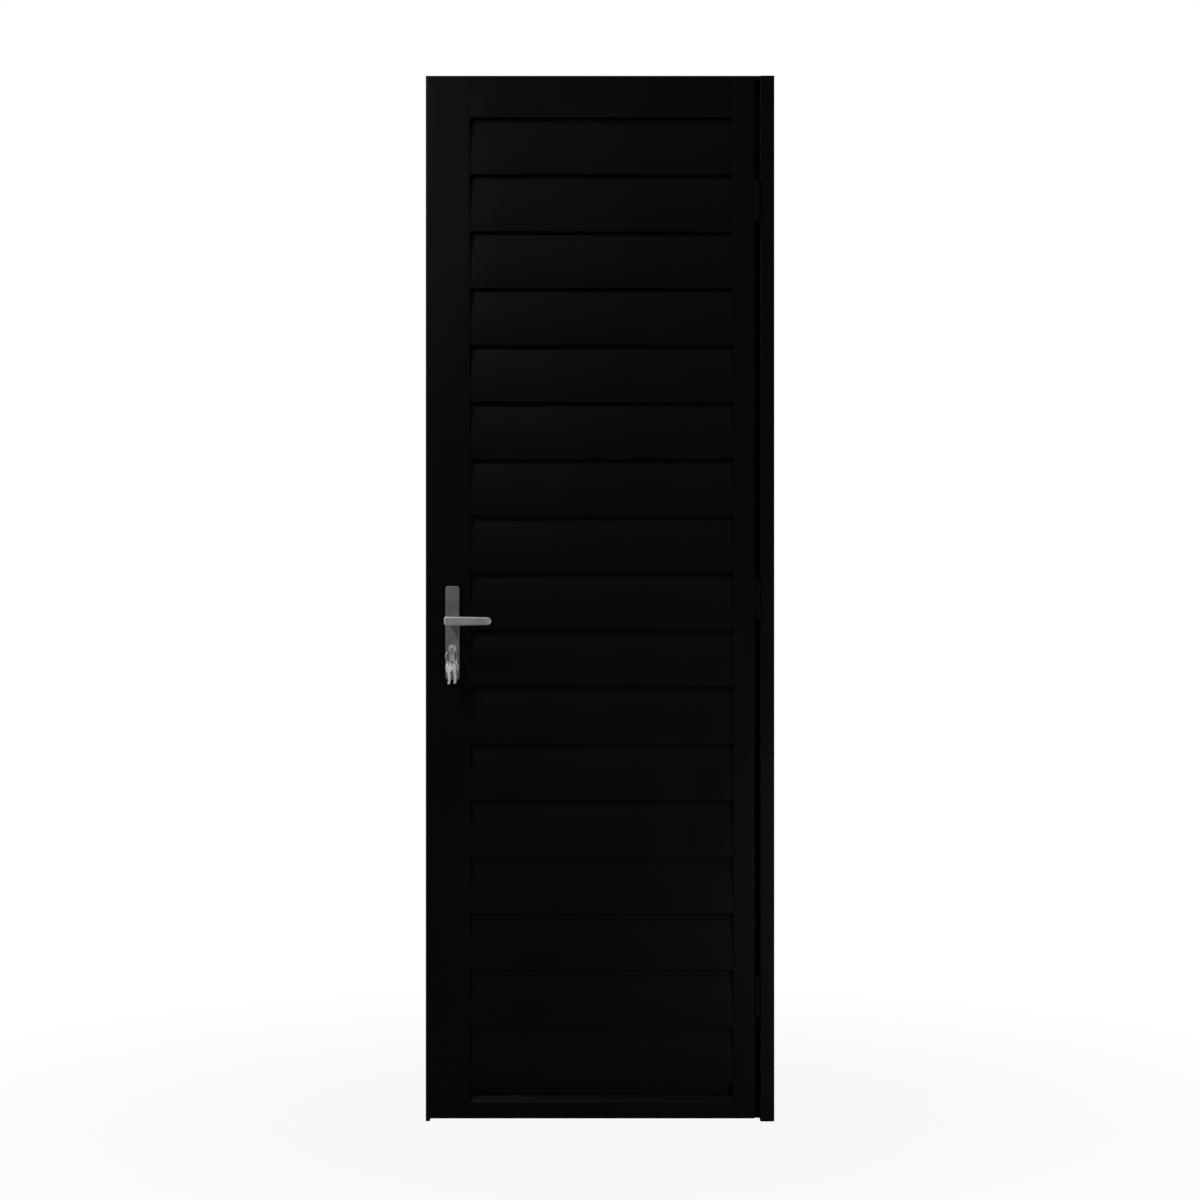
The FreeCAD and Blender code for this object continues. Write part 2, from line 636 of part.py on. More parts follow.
def make_handle(side, outward, plate_face):
    """Handle plate and lever of one side of the leaf.

    Args: side names the pieces, outward is the sign of y away from the leaf, and plate_face is the
    leaf's face that the plate lies on.
    """
    backwards = outward > 0
    plate = new_body(f"{side}_plate", LEVER_AXIS, plate_face, "lever_height")
    outline = rounded_rectangle("-plate_width / 2", "-plate_below", "plate_width / 2", "plate_above",
                                "plate_corner")
    slab = extrude(plate, "XZ_Plane", (outline,), "plate_thickness", backwards=backwards)
    bevel_edges(plate, slab, f"{outward} * plate_thickness", "plate_edge")
    holes = new_sketch(plate, "XZ_Plane")
    draw_circle(holes, "0", "0", "spindle_hole")
    draw_loop(holes, [(corner[0], f"{corner[1]} - cylinder_drop", *corner[2:])
                      for corner in keyhole("cylinder_play")])
    pocket(plate, holes, backwards=not backwards)

    neck_foot = "(plate_thickness + lever_play)"
    grip_back = "(plate_thickness + lever_standoff)"
    grip_front = f"({grip_back} + lever_thickness)"
    lever = new_body(f"{side}_lever", LEVER_AXIS, plate_face, "lever_height")
    blunt_end = "(lever_corner - lever_back)"
    grip = [
        (blunt_end, "-lever_root"),
        ("lever_length - lever_tip", "-lever_tip", "lever_tip", -1),
        ("lever_length", "0", "lever_tip", -1),
        ("lever_length - lever_tip", "lever_tip"),
        (blunt_end, "lever_root", "lever_corner", -1),
        ("-lever_back", "lever_root - lever_corner"),
        ("-lever_back", "lever_corner - lever_root", "lever_corner", -1),
    ]
    level = f"{-outward} * {grip_back}"
    bar = extrude(lever, "XZ_Plane", (grip,), "lever_thickness", level, backwards)
    bevelled = bevel_edges(lever, bar, f"{outward} * {grip_front}", "lever_edge")
    bevel_edges(lever, bevelled, f"{outward} * {grip_back}", "lever_edge")
    neck = new_sketch(lever, "XZ_Plane", f"{-outward} * {neck_foot}")
    draw_circle(neck, "0", "0", "neck_radius")
    pad(lever, neck, f"{grip_back} - {neck_foot} + lever_edge", backwards)
    socket = new_sketch(lever, "XZ_Plane", f"{-outward} * {neck_foot}")
    half = "(spindle_side / 2 + spindle_play)"
    draw_loop(socket, rectangle(f"-{half}", f"-{half}", half, half))
    pocket(lever, socket, "spindle_depth + spindle_play", backwards=not backwards)


def make_spindle():
    """Square spindle from one lever's neck to the other."""
    reach = "(plate_thickness + lever_play + spindle_depth)"
    spindle = new_body("lever_spindle", LEVER_AXIS, f"{FRONT} - {reach}", "lever_height")
    half = "(spindle_side / 2)"
    square = rectangle(f"-{half}", f"-{half}", half, half)
    extrude(spindle, "XZ_Plane", (square,), f"leaf_thickness + 2 * {reach}", backwards=True)


def make_keys():
    """Key in the lock, the ring through its bow and two spare keys that hang on the ring."""
    face = f"{FRONT} - plate_thickness - cylinder_proud"
    half = "(key_thickness / 2)"
    lock_key = new_body("lock_key", LEVER_AXIS, face, CYLINDER_HEIGHT)
    bow = new_sketch(lock_key, "YZ_Plane", f"-{half}")
    draw_circle(bow, "-bow_reach", "0", "bow_radius")
    draw_circle(bow, "-bow_reach - bow_hole_offset", "0", "bow_hole")
    pad(lock_key, bow, "key_thickness")
    shank = "(bow_hole - bow_reach)"
    blade = [
        (shank, "-key_width / 2"),
        ("key_length - key_tip", "-key_width / 2"),
        ("key_length", "key_tip - key_width / 2"),
        ("key_length", "key_width / 2"),
        (shank, "key_width / 2"),
    ]
    extrude(lock_key, "YZ_Plane", (blade,), "key_thickness", f"-{half}")

    hang = "(bow_hole - ring_wire / 2 - ring_play)"
    spare_hang = "(bow_hole - ring_wire / 2 - spare_play)"
    hole_y = f"({face} - bow_reach - bow_hole_offset)"
    ring_z = f"({CYLINDER_HEIGHT} - {hang} - ring_radius)"
    ring = new_body("key_ring", LEVER_AXIS, hole_y, ring_z, yaw="ring_yaw")
    wire = new_sketch(ring, "XZ_Plane")
    for radius in ("ring_radius + ring_wire / 2", "ring_radius - ring_wire / 2"):
        draw_circle(wire, "0", "0", radius)
    pad(ring, wire, "ring_wire").Midplane = True

    for index, swing in enumerate(("-left_key_swing", "right_key_swing"), start=1):
        along = f"(ring_radius * sin({swing} * 1 deg))"
        x = f"{LEVER_AXIS} + {along} * cos(ring_yaw * 1 deg)"
        y = f"{hole_y} + {along} * sin(ring_yaw * 1 deg)"
        z = f"{ring_z} - ring_radius * cos({swing} * 1 deg) - {spare_hang}"
        spare = new_body(f"spare_key_{index}", x, y, z, yaw="ring_yaw")
        bow = new_sketch(spare, "YZ_Plane", f"-{half}")
        draw_circle(bow, "0", "-bow_hole_offset", "bow_radius")
        draw_circle(bow, "0", "0", "bow_hole")
        pad(spare, bow, "key_thickness")
        root = "(-bow_hole - bow_hole_offset)"
        end = "(-bow_hole_offset - bow_radius - key_length)"
        blade = [
            ("-key_width / 2", root),
            ("-key_width / 2", f"{end} + key_tip"),
            ("key_tip - key_width / 2", end),
            ("key_width / 2", end),
            ("key_width / 2", root),
        ]
        extrude(spare, "YZ_Plane", (blade,), "key_thickness", f"-{half}")


def check():
    """Stops with the names of failed features or of pieces without one valid solid."""
    failed = [item.Name for item in doc.Objects if {"Invalid", "Error"} & set(item.State)]
    for piece in pieces:
        shape = piece.Shape
        if shape.isNull() or not shape.isValid() or len(shape.Solids) != 1:
            failed.append(piece.Label)
    if failed:
        raise RuntimeError("failed: " + ", ".join(failed))


make_jambs()
make_head()
make_stiles()
make_rails()
make_slats()
make_hinges()
make_lock()
make_handle("front", -1, FRONT)
make_handle("back", 1, f"({FRONT} + leaf_thickness)")
make_spindle()
make_keys()
doc.recompute()
check()

os.makedirs("parts", exist_ok=True)
for piece in pieces:
    piece.Shape.exportStep(f"parts/{piece.Label}.step")
    print(piece.Label, round(piece.Shape.Volume / 1000, 2), "cm3")
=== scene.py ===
"""Dresses the louvred door: coated frame and leaf, convex slats, hinges, handle set and keys."""

import json
import logging
import math
from dataclasses import dataclass, field
from enum import Enum
from typing import Iterable, Sequence

import bmesh
import bpy
from mathutils import Matrix, Vector

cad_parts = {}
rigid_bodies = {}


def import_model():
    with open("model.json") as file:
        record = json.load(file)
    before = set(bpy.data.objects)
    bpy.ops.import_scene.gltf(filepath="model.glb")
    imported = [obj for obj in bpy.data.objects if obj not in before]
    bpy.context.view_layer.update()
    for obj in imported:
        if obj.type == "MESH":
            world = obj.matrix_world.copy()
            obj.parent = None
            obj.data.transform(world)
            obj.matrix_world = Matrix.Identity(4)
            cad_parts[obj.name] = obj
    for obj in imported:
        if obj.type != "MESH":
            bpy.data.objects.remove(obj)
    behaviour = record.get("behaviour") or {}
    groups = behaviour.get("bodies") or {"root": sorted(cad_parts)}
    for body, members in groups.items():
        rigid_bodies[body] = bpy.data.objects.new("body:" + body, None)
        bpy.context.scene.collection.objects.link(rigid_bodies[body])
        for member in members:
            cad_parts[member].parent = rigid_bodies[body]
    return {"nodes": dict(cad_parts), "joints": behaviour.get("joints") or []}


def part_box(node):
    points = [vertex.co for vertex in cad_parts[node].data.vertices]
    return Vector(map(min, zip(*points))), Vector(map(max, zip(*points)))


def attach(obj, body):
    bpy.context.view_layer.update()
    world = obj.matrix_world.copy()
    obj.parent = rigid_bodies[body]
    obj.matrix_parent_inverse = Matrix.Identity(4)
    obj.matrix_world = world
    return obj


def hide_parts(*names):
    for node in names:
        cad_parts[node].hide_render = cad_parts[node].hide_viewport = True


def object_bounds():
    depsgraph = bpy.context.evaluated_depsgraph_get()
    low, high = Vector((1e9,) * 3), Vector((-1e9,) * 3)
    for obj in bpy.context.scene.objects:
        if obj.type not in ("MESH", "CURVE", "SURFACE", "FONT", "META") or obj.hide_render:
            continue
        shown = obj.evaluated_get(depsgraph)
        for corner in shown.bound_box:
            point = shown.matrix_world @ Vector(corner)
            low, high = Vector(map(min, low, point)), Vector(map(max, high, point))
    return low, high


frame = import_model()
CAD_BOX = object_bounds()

LOG = logging.getLogger("louvred_door")
MM = 0.001
TOUCH = 1e-7  # metres under which two points are one
DIGITS = 6  # digits of a metre by which points of an outline are known
SHARP_TURN_DEG = 40.0  # turn past which an edge of a mesh is shaded sharp
ROUNDED_TURN_DEG = 25.0  # turn past which an edge or a corner is rounded
RIM_TURN_DEG = 60.0  # turn past which an edge of a plate is a rim
NOISE_RANGE = (0.35, 0.65)  # values of a noise between which a finish varies

Point = tuple[float, float]
Outline = list[Point]
Colour = tuple[float, float, float, float]
Shape = bmesh.types.BMesh
Edges = list[bmesh.types.BMEdge]
Mesh = bpy.types.Mesh
Socket = bpy.types.NodeSocket
Links = dict[str | int, Socket]


def grey(level: float, warmth: float = 0.0) -> Colour:
    """Grey of a linear level, tinted towards red for a positive warmth."""
    return (level * (1 + warmth), level, level * (1 - warmth), 1.0)


class Body(Enum):
    """Bodies of the frame that pieces ride on."""

    FRAME = "door_frame"
    LEAF = "leaf"
    LEVER = "lever"


class Joint(Enum):
    """Joints of the frame, as their places in its list."""

    LEAF_SWING = 0
    LEVER_TURN = 1

    def point(self) -> Vector:
        """Point on the joint's axis."""
        return Vector(frame["joints"][self.value]["pos_m"])


class Grain(Enum):
    """Direction of brushing, as the stretch of a noise along X, Y and Z."""

    UPRIGHT = (1.0, 1.0, 0.02)
    ACROSS = (0.02, 1.0, 1.0)
    NONE = (1.0, 1.0, 1.0)


class Side(Enum):
    """Faces of the leaf, as the sign of Y that points away from it."""

    FRONT = -1
    BACK = 1

    def label(self, kind: str) -> str:
        """Name of the node or piece of a kind on this face."""
        return f"{self.name.lower()}_{kind}"

    def seat(self, node: str) -> float:
        """Depth at which a node on this face meets the leaf."""
        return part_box(node)[1 if self is Side.FRONT else 0].y

    def end(self, node: str) -> float:
        """Depth at which a node on this face ends, away from the leaf."""
        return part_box(node)[0 if self is Side.FRONT else 1].y


class Passage(Enum):
    """Ways from one end of a mapped range to the other."""

    STRAIGHT = "LINEAR"
    EASED = "SMOOTHSTEP"


@dataclass(frozen=True)
class Ramp:
    """Range of a value, from start to end, and the range from low to high that it is mapped to."""

    start: float
    end: float
    low: float
    high: float
    passage: Passage = Passage.EASED


class NodeTree:
    """Tree whose nodes are added, set and linked in one call."""

    prefix = ""

    def __init__(self, tree: bpy.types.NodeTree) -> None:
        """Takes the tree that gets the nodes."""
        self.tree = tree

    def node(self, kind: str, links: Links | None = None, **values: object) -> bpy.types.Node:
        """Adds a node, sets its properties or inputs and links its inputs.

        Args:
            kind: Type of the node without the tree's prefix, or of a function node in full.
            links: Sources of its inputs, by the inputs' names or numbers.
            values: Values of its properties or inputs, named with underscores for spaces.

        Returns:
            The node.
        """
        made = self.tree.nodes.new(kind if kind.startswith("Function") else self.prefix + kind)
        for key, value in values.items():
            if hasattr(made, key):
                setattr(made, key, value)
            else:
                made.inputs[key.replace("_", " ")].default_value = value
        for key, source in (links or {}).items():
            self.tree.links.new(source, made.inputs[key])
        return made


class ShaderTree(NodeTree):
    """Shader nodes of a material or of the surround."""

    prefix = "ShaderNode"

    def mapped(self, source: Socket, ramp: Ramp) -> Socket:
        """Maps a value from one range to another.

        Args:
            source: Value to map.
            ramp: Both ranges and the way between their ends.

        Returns:
            The mapped value.
        """
        made = self.node(
            "MapRange",
            {"Value": source},
            interpolation_type=ramp.passage.value,
            From_Min=ramp.start,
            From_Max=ramp.end,
            To_Min=ramp.low,
            To_Max=ramp.high,
        )
        return made.outputs["Result"]

    def larger(self, first: Socket, second: Socket) -> Socket:
        """The larger of two values."""
        return self.node("Math", {0: first, 1: second}, operation="MAXIMUM").outputs[0]


class Shading(ShaderTree):
    """Nodes of one material round its Principled shader."""

    def __init__(self, name: str) -> None:
        """Makes a material with a plain Principled shader.

        Args:
            name: Name of the material.
        """
        self.material = bpy.data.materials.new(name)
        self.material.use_nodes = True
        super().__init__(self.material.node_tree)
        self.shader = self.tree.nodes["Principled BSDF"]

    def set(self, **values: object) -> None:
        """Sets sockets of the shader, named with underscores for spaces."""
        for key, value in values.items():
            self.shader.inputs[key.replace("_", " ")].default_value = value

    def feed(self, source: Socket, socket: str) -> None:
        """Links a value to an input of the shader."""
        self.tree.links.new(source, self.shader.inputs[socket])

    def noise(self, scale: float, detail: float, stretch: Sequence[float] = Grain.NONE.value) -> Socket:
        """Makes a noise on Object coordinates.

        Args:
            scale: Grains in a metre.
            detail: Octaves of finer grain.
            stretch: Factors of the coordinates; a small one draws the grain out along its axis.

        Returns:
            The noise's factor.
        """
        place = self.node("TexCoord").outputs["Object"]
        mapping = self.node("Mapping", {"Vector": place}, Scale=stretch).outputs["Vector"]
        return self.node("TexNoise", {"Vector": mapping}, Scale=scale, Detail=detail).outputs[0]

    def tint(self, noise: Socket, first: Colour, second: Colour) -> None:
        """Gives the shader a colour that varies between two.

        Args:
            noise: Noise that chooses between them.
            first: Colour where the noise is low.
            second: Colour where it is high.
        """
        share = self.mapped(noise, Ramp(*NOISE_RANGE, 0.0, 1.0, Passage.STRAIGHT))
        mix = self.node("Mix", {"Factor": share}, data_type="RGBA")
        colours = [socket for socket in mix.inputs if socket.type == "RGBA"]
        colours[0].default_value = first
        colours[1].default_value = second
        self.feed(next(socket for socket in mix.outputs if socket.type == "RGBA"), "Base Color")

    def roughen(self, noise: Socket, mean: float, spread: float) -> None:
        """Varies the shader's roughness by a noise, up to a spread either way from its mean."""
        ramp = Ramp(*NOISE_RANGE, mean - spread, mean + spread, Passage.STRAIGHT)
        self.feed(self.mapped(noise, ramp), "Roughness")

    def bump(self, noise: Socket, strength: float, distance: float) -> None:
        """Raises the surface by a noise.

        Args:
            noise: Height of the surface.
            strength: Share of the slope that shows.
            distance: Height in metres of a full step of the noise.
        """
        made = self.node("Bump", {"Height": noise}, Strength=strength, Distance=distance)
        self.feed(made.outputs["Normal"], "Normal")


@dataclass(frozen=True)
class PowderCoat:
    """Black satin powder coat, with slight clouds and smears and the fine peel of sprayed powder."""

    name: str
    slot: str
    pale: Colour = grey(0.0045)
    deep: Colour = grey(0.0039)
    sheen: float = 0.10
    roughness: float = 0.40
    patchiness: float = 0.04
    cloud_scale: float = 2.3
    cloud_detail: float = 5.0
    smear_scale: float = 9.2
    smear_detail: float = 6.0
    smear_stretch: tuple[float, float, float] = (1.0, 1.0, 0.35)
    peel_scale: float = 1400.0
    peel_detail: float = 1.5
    peel_strength: float = 0.35
    peel_height: float = 0.06 * MM

    def build(self) -> bpy.types.Material:
        """Builds the coat.

        Returns:
            Its material.
        """
        shading = Shading(self.name)
        shading.set(Specular_IOR_Level=self.sheen)
        shading.tint(shading.noise(self.cloud_scale, self.cloud_detail), self.deep, self.pale)
        smears = shading.noise(self.smear_scale, self.smear_detail, self.smear_stretch)
        shading.roughen(smears, self.roughness, self.patchiness)
        peel = shading.noise(self.peel_scale, self.peel_detail)
        shading.bump(peel, self.peel_strength, self.peel_height)
        return shading.material


@dataclass(frozen=True)
class SatinMetal:
    """Metal with a brushed or blasted face, partly matt where its metallic share is under 1."""

    name: str
    slot: str
    bright: Colour
    dull: Colour
    roughness: float
    metallic: float = 1.0
    grain: Grain = Grain.UPRIGHT
    grain_scale: float = 2600.0
    grain_detail: float = 3.0
    grain_strength: float = 0.3
    grain_height: float = 0.02 * MM
    patch_scale: float = 60.0
    patch_detail: float = 4.0
    patchiness: float = 0.06

    def build(self) -> bpy.types.Material:
        """Builds the metal.

        Returns:
            Its material.
        """
        shading = Shading(self.name)
        shading.set(Metallic=self.metallic)
        streaks = shading.noise(self.grain_scale, self.grain_detail, self.grain.value)
        shading.tint(streaks, self.dull, self.bright)
        patches = shading.noise(self.patch_scale, self.patch_detail)
        shading.roughen(patches, self.roughness, self.patchiness)
        shading.bump(streaks, self.grain_strength, self.grain_height)
        return shading.material


Finish = PowderCoat | SatinMetal


class Finishes:
    """The door's finishes, each built once."""

    COAT = PowderCoat("black_powder_coat", "black_coating")
    HINGE_COAT = PowderCoat("black_hinge_coat", "black_steel", sheen=0.04, roughness=0.55, peel_scale=2400.0)
    PLATE = SatinMetal("satin_plate_metal", "satin_metal", grey(0.32), grey(0.27), 0.45, 0.4)
    # The lever is the same satin metal as the plate, but its base colour is painted far paler: a painted
    # highlight for the light that its rounded grip catches.
    LEVER = SatinMetal("satin_lever_metal_painted_lit", "satin_metal", grey(0.80), grey(0.70), 0.40, 0.65, Grain.ACROSS)
    LOCK_STEEL = SatinMetal("brushed_lock_steel", "bright_steel", grey(0.60), grey(0.48), 0.32)
    KEY_NICKEL = SatinMetal(
        "nickel_plate", "nickel", grey(0.80, 0.02), grey(0.68, 0.02), 0.30, 0.9, Grain.NONE, 900.0
    )
    CYLINDER = SatinMetal(
        "satin_nickel", "nickel", grey(0.92, 0.02), grey(0.84, 0.02), 0.44, 0.5, Grain.NONE, 900.0
    )

    _made: dict[str, bpy.types.Material] = {}

    @classmethod
    def material(cls, finish: Finish) -> bpy.types.Material:
        """Gives the material of a finish, built on first use.

        Args:
            finish: One of the door's finishes.

        Returns:
            Its material.
        """
        if finish.name not in cls._made:
            cls._made[finish.name] = finish.build()
        return cls._made[finish.name]


def in_scene(name: str, data: bpy.types.ID) -> bpy.types.Object:
    """Makes an object and links it to the scene.

    Args:
        name: Name of the object.
        data: Its mesh, light or camera.

    Returns:
        The object.
    """
    made = bpy.data.objects.new(name, data)
    bpy.context.scene.collection.objects.link(made)
    return made


def add_piece(name: str, mesh: Mesh, finish: Finish, body: Body, nodes: Sequence[str] = ()) -> None:
    """Links a finished mesh as a piece of the door.

    Args:
        name: Name of the piece.
        mesh: Mesh with its place in its points.
        finish: Finish of the whole piece.
        body: Body that it rides on.
        nodes: CAD nodes that it stands for.
    """
    mesh.materials.clear()
    mesh.materials.append(Finishes.material(finish))
    piece = in_scene(name, mesh)
    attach(piece, body.value)
    if nodes:
        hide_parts(*nodes)
    LOG.info("piece %s: %d faces on %s", name, len(mesh.polygons), body.value)


def plain_mesh(holder: bpy.types.Object) -> Mesh:
    """Turns an object with its modifiers into a plain mesh, and removes the object and its data.

    Args:
        holder: Object that isn't in the scene yet.

    Returns:
        The evaluated mesh.
    """
    bpy.context.scene.collection.objects.link(holder)
    bpy.context.view_layer.update()
    graph = bpy.context.evaluated_depsgraph_get()
    mesh = bpy.data.meshes.new_from_object(
        holder.evaluated_get(graph), preserve_all_data_layers=True, depsgraph=graph
    )
    data = holder.data
    bpy.data.objects.remove(holder)
    bpy.data.batch_remove([data])
    return mesh


def shape_of(mesh: Mesh) -> Shape:
    """Turns a mesh that is no longer needed into a shape to work on.

    Args:
        mesh: Mesh, which is removed.

    Returns:
        The shape.
    """
    work = bmesh.new()
    work.from_mesh(mesh)
    bpy.data.meshes.remove(mesh)
    return work


def settle(work: Shape, name: str, sharp_deg: float = SHARP_TURN_DEG) -> Mesh:
    """Turns a finished shape into a mesh, smooth but for its sharp edges, with its large faces flat.

    Args:
        work: Shape, which is freed.
        name: Name of the mesh.
        sharp_deg: Turn past which an edge is sharp.

    Returns:
        The mesh.
    """
    raw = bpy.data.meshes.new(name)
    for face in work.faces:
        face.smooth = True
    work.to_mesh(raw)
    work.free()
    raw.set_sharp_from_angle(angle=math.radians(sharp_deg))
    holder = bpy.data.objects.new(name, raw)
    weighted = holder.modifiers.new("flat_faces", "WEIGHTED_NORMAL")
    weighted.keep_sharp = True
    mesh = plain_mesh(holder)
    mesh.name = name
    return mesh


def settle_outward(work: Shape, name: str, sharp_deg: float = SHARP_TURN_DEG) -> Mesh:
    """Turns a shape's faces outwards and settles it."""
    bmesh.ops.recalc_face_normals(work, faces=work.faces)
    return settle(work, name, sharp_deg)


def merge_flat(work: Shape, distance: float, turn_deg: float) -> None:
    """Merges points within a distance and dissolves the edges that turn by less than an angle."""
    bmesh.ops.remove_doubles(work, verts=work.verts, dist=distance)
    bmesh.ops.dissolve_limit(work, angle_limit=math.radians(turn_deg), verts=work.verts, edges=work.edges)


def round_edges(work: Shape, edges: Edges, width: float, steps: int) -> None:
    """Rounds edges of a shape to a width, with a number of faces across the rounding."""
    bmesh.ops.bevel(
        work, geom=edges, offset=width, segments=steps, profile=0.5, affect="EDGES", clamp_overlap=False
    )


def softened(node: str, width: float, shortest: float) -> Mesh:
    """Copies a CAD node and rounds its long edges, as tools and dies leave them.

    Args:
        node: Name of the node.
        width: Width of the rounding.
        shortest: Length under which an edge stays sharp.

    Returns:
        The copy's mesh.
    """
    work = bmesh.new()
    work.from_mesh(frame["nodes"][node].data)
    merge_flat(work, distance=10 * TOUCH, turn_deg=1.0)
    turn = math.radians(ROUNDED_TURN_DEG)
    edges = [
        edge
        for edge in work.edges
        if edge.is_manifold and edge.calc_length() > shortest and edge.calc_face_angle() > turn
    ]
    round_edges(work, edges, width, steps=2)
    return settle(work, f"{node}_soft")


def arc(centre: Point, radius: float, start_deg: float, end_deg: float, steps: int) -> Outline:
    """Draws an arc as chords.

    Args:
        centre: Centre of the arc.
        radius: Its radius.
        start_deg: Direction of its first point.
        end_deg: Direction of its last point.
        steps: Chords along it.

    Returns:
        Its points, both ends included.
    """
    turns = [math.radians(start_deg + (end_deg - start_deg) * step / steps) for step in range(steps + 1)]
    return [(centre[0] + radius * math.cos(turn), centre[1] + radius * math.sin(turn)) for turn in turns]


def circle(centre: Point, radius: float, steps: int) -> Outline:
    """Points round a circle."""
    return arc(centre, radius, 0, 360, steps)[:-1]


def rounded_corners(corners: Outline, radius: float, steps: int = 3) -> Outline:
    """Cuts the sharp corners of a closed outline to short curves.

    Args:
        corners: Points of the outline in order.
        radius: Length taken off each side of a corner, at most a third of that side.
        steps: Chords across a corner.

    Returns:
        Points of the new outline.
    """
    out: Outline = []
    for index, here in enumerate(corners):
        point = Vector(here)
        before = Vector(corners[index - 1]) - point
        after = Vector(corners[(index + 1) % len(corners)]) - point
        if abs(before.angle(-after)) < math.radians(ROUNDED_TURN_DEG):
            out.append(here)
            continue
        cut = min(radius, before.length / 3, after.length / 3)
        first = point + before.normalized() * cut
        last = point + after.normalized() * cut
        for step in range(steps + 1):
            share = step / steps
            bent = first.lerp(point, share).lerp(point.lerp(last, share), share)
            out.append((bent.x, bent.y))
    return out


def outline_curve(name: str, outlines: Sequence[Outline]) -> bpy.types.Curve:
    """Makes a flat curve of closed outlines.

    Args:
        name: Name of the curve.
        outlines: Points of each outline.

    Returns:
        The curve.
    """
    curve = bpy.data.curves.new(name, "CURVE")
    curve.dimensions = "2D"
    for outline in outlines:
        spline = curve.splines.new("POLY")
        spline.points.add(len(outline) - 1)
        for point, (across, up) in zip(spline.points, outline):
            point.co = (across, up, 0, 1)
        spline.use_cyclic_u = True
    return curve


def rims(work: Shape, outline: Outline, both_faces: bool) -> tuple[Edges, Edges]:
    """Finds the rims of a plate that lies about local Z 0.

    Args:
        work: The plate, with square edges.
        outline: Points of its outer rim.
        both_faces: Whether the rims of the lower face count.

    Returns:
        Edges of the outer rim and edges of the holes.
    """
    outer = {(round(across, DIGITS), round(up, DIGITS)) for across, up in outline}
    on_outline: Edges = []
    on_holes: Edges = []
    for edge in work.edges:
        first, last = edge.verts[0].co, edge.verts[1].co
        level = abs(first.z - last.z) < TOUCH and (both_faces or first.z > 0)
        if not level or not edge.is_manifold or edge.calc_face_angle() < math.radians(RIM_TURN_DEG):
            continue
        if all((round(point.x, DIGITS), round(point.y, DIGITS)) in outer for point in (first, last)):
            on_outline.append(edge)
        else:
            on_holes.append(edge)
    return on_outline, on_holes


def plate(
    outlines: Sequence[Outline],
    thickness: float,
    rounding: float,
    place: Matrix,
    hole_rounding: float = 0.2 * MM,
    steps: int = 3,
    both_faces: bool = True,
) -> Shape:
    """Makes a flat plate with holes and rounded rims.

    Args:
        outlines: The rim, then the holes, in the plate's plane.
        thickness: Thickness along the local Z axis, from 0 up.
        rounding: Width of the outer rim's rounding.
        place: Matrix from the plate's plane to the door's frame.
        hole_rounding: Width of the holes' rounding.
        steps: Faces across the outer rounding.
        both_faces: Whether the rims at local Z 0 are rounded too.

    Returns:
        The shape, for more work or to be settled.
    """
    curve = outline_curve("plate_outline", outlines)
    curve.fill_mode = "BOTH"
    curve.extrude = thickness / 2
    work = shape_of(plain_mesh(bpy.data.objects.new("plate_outline", curve)))
    merge_flat(work, distance=TOUCH, turn_deg=0.5)
    bmesh.ops.recalc_face_normals(work, faces=work.faces)
    on_outline, on_holes = rims(work, outlines[0], both_faces)
    round_edges(work, on_holes, hole_rounding, steps=1)
    round_edges(work, on_outline, rounding, steps)
    rise = Matrix.Translation((0, 0, thickness / 2))
    bmesh.ops.transform(work, matrix=place @ rise, verts=work.verts)
    return work


def lathe(profile: Outline, sides: int, place: Matrix) -> Shape:
    """Makes a closed turned shape about the local Z axis.

    Args:
        profile: Radius and height of each point of its open profile.
        sides: Faces round it.
        place: Matrix from its own axes to the door's frame.

    Returns:
        The shape.
    """
    work = bmesh.new()
    rings = []
    for radius, height in profile:
        rings.append([work.verts.new((*point, height)) for point in circle((0, 0), radius, sides)])
    for lower, upper in zip(rings, rings[1:]):
        for side in range(sides):
            following = (side + 1) % sides
            work.faces.new((lower[side], lower[following], upper[following], upper[side]))
    work.faces.new(reversed(rings[0]))
    work.faces.new(rings[-1])
    bmesh.ops.recalc_face_normals(work, faces=work.faces)
    bmesh.ops.transform(work, matrix=place, verts=work.verts)
    return work


def joined(shapes: Iterable[Shape]) -> Shape:
    """Makes one shape of several.

    Args:
        shapes: Shapes, which are freed.

    Returns:
        The whole.
    """
    whole = bmesh.new()
    for shape in shapes:
        scratch = bpy.data.meshes.new("scratch")
        shape.to_mesh(scratch)
        shape.free()
        whole.from_mesh(scratch)
        bpy.data.meshes.remove(scratch)
    return whole


def facing(origin: Vector, normal: Vector, up: Vector = Vector((0, 0, 1))) -> Matrix:
    """Lays a local XY plane in the door's frame.

    Args:
        origin: Where the local origin goes.
        normal: Direction of local Z.
        up: Direction that local Y is nearest to.

    Returns:
        Matrix from the plane to the door's frame.
    """
    ahead = normal.normalized()
    across = up.cross(ahead).normalized()
    rise = ahead.cross(across)
    turn = Matrix((across, rise, ahead)).transposed().to_4x4()
    return Matrix.Translation(origin) @ turn


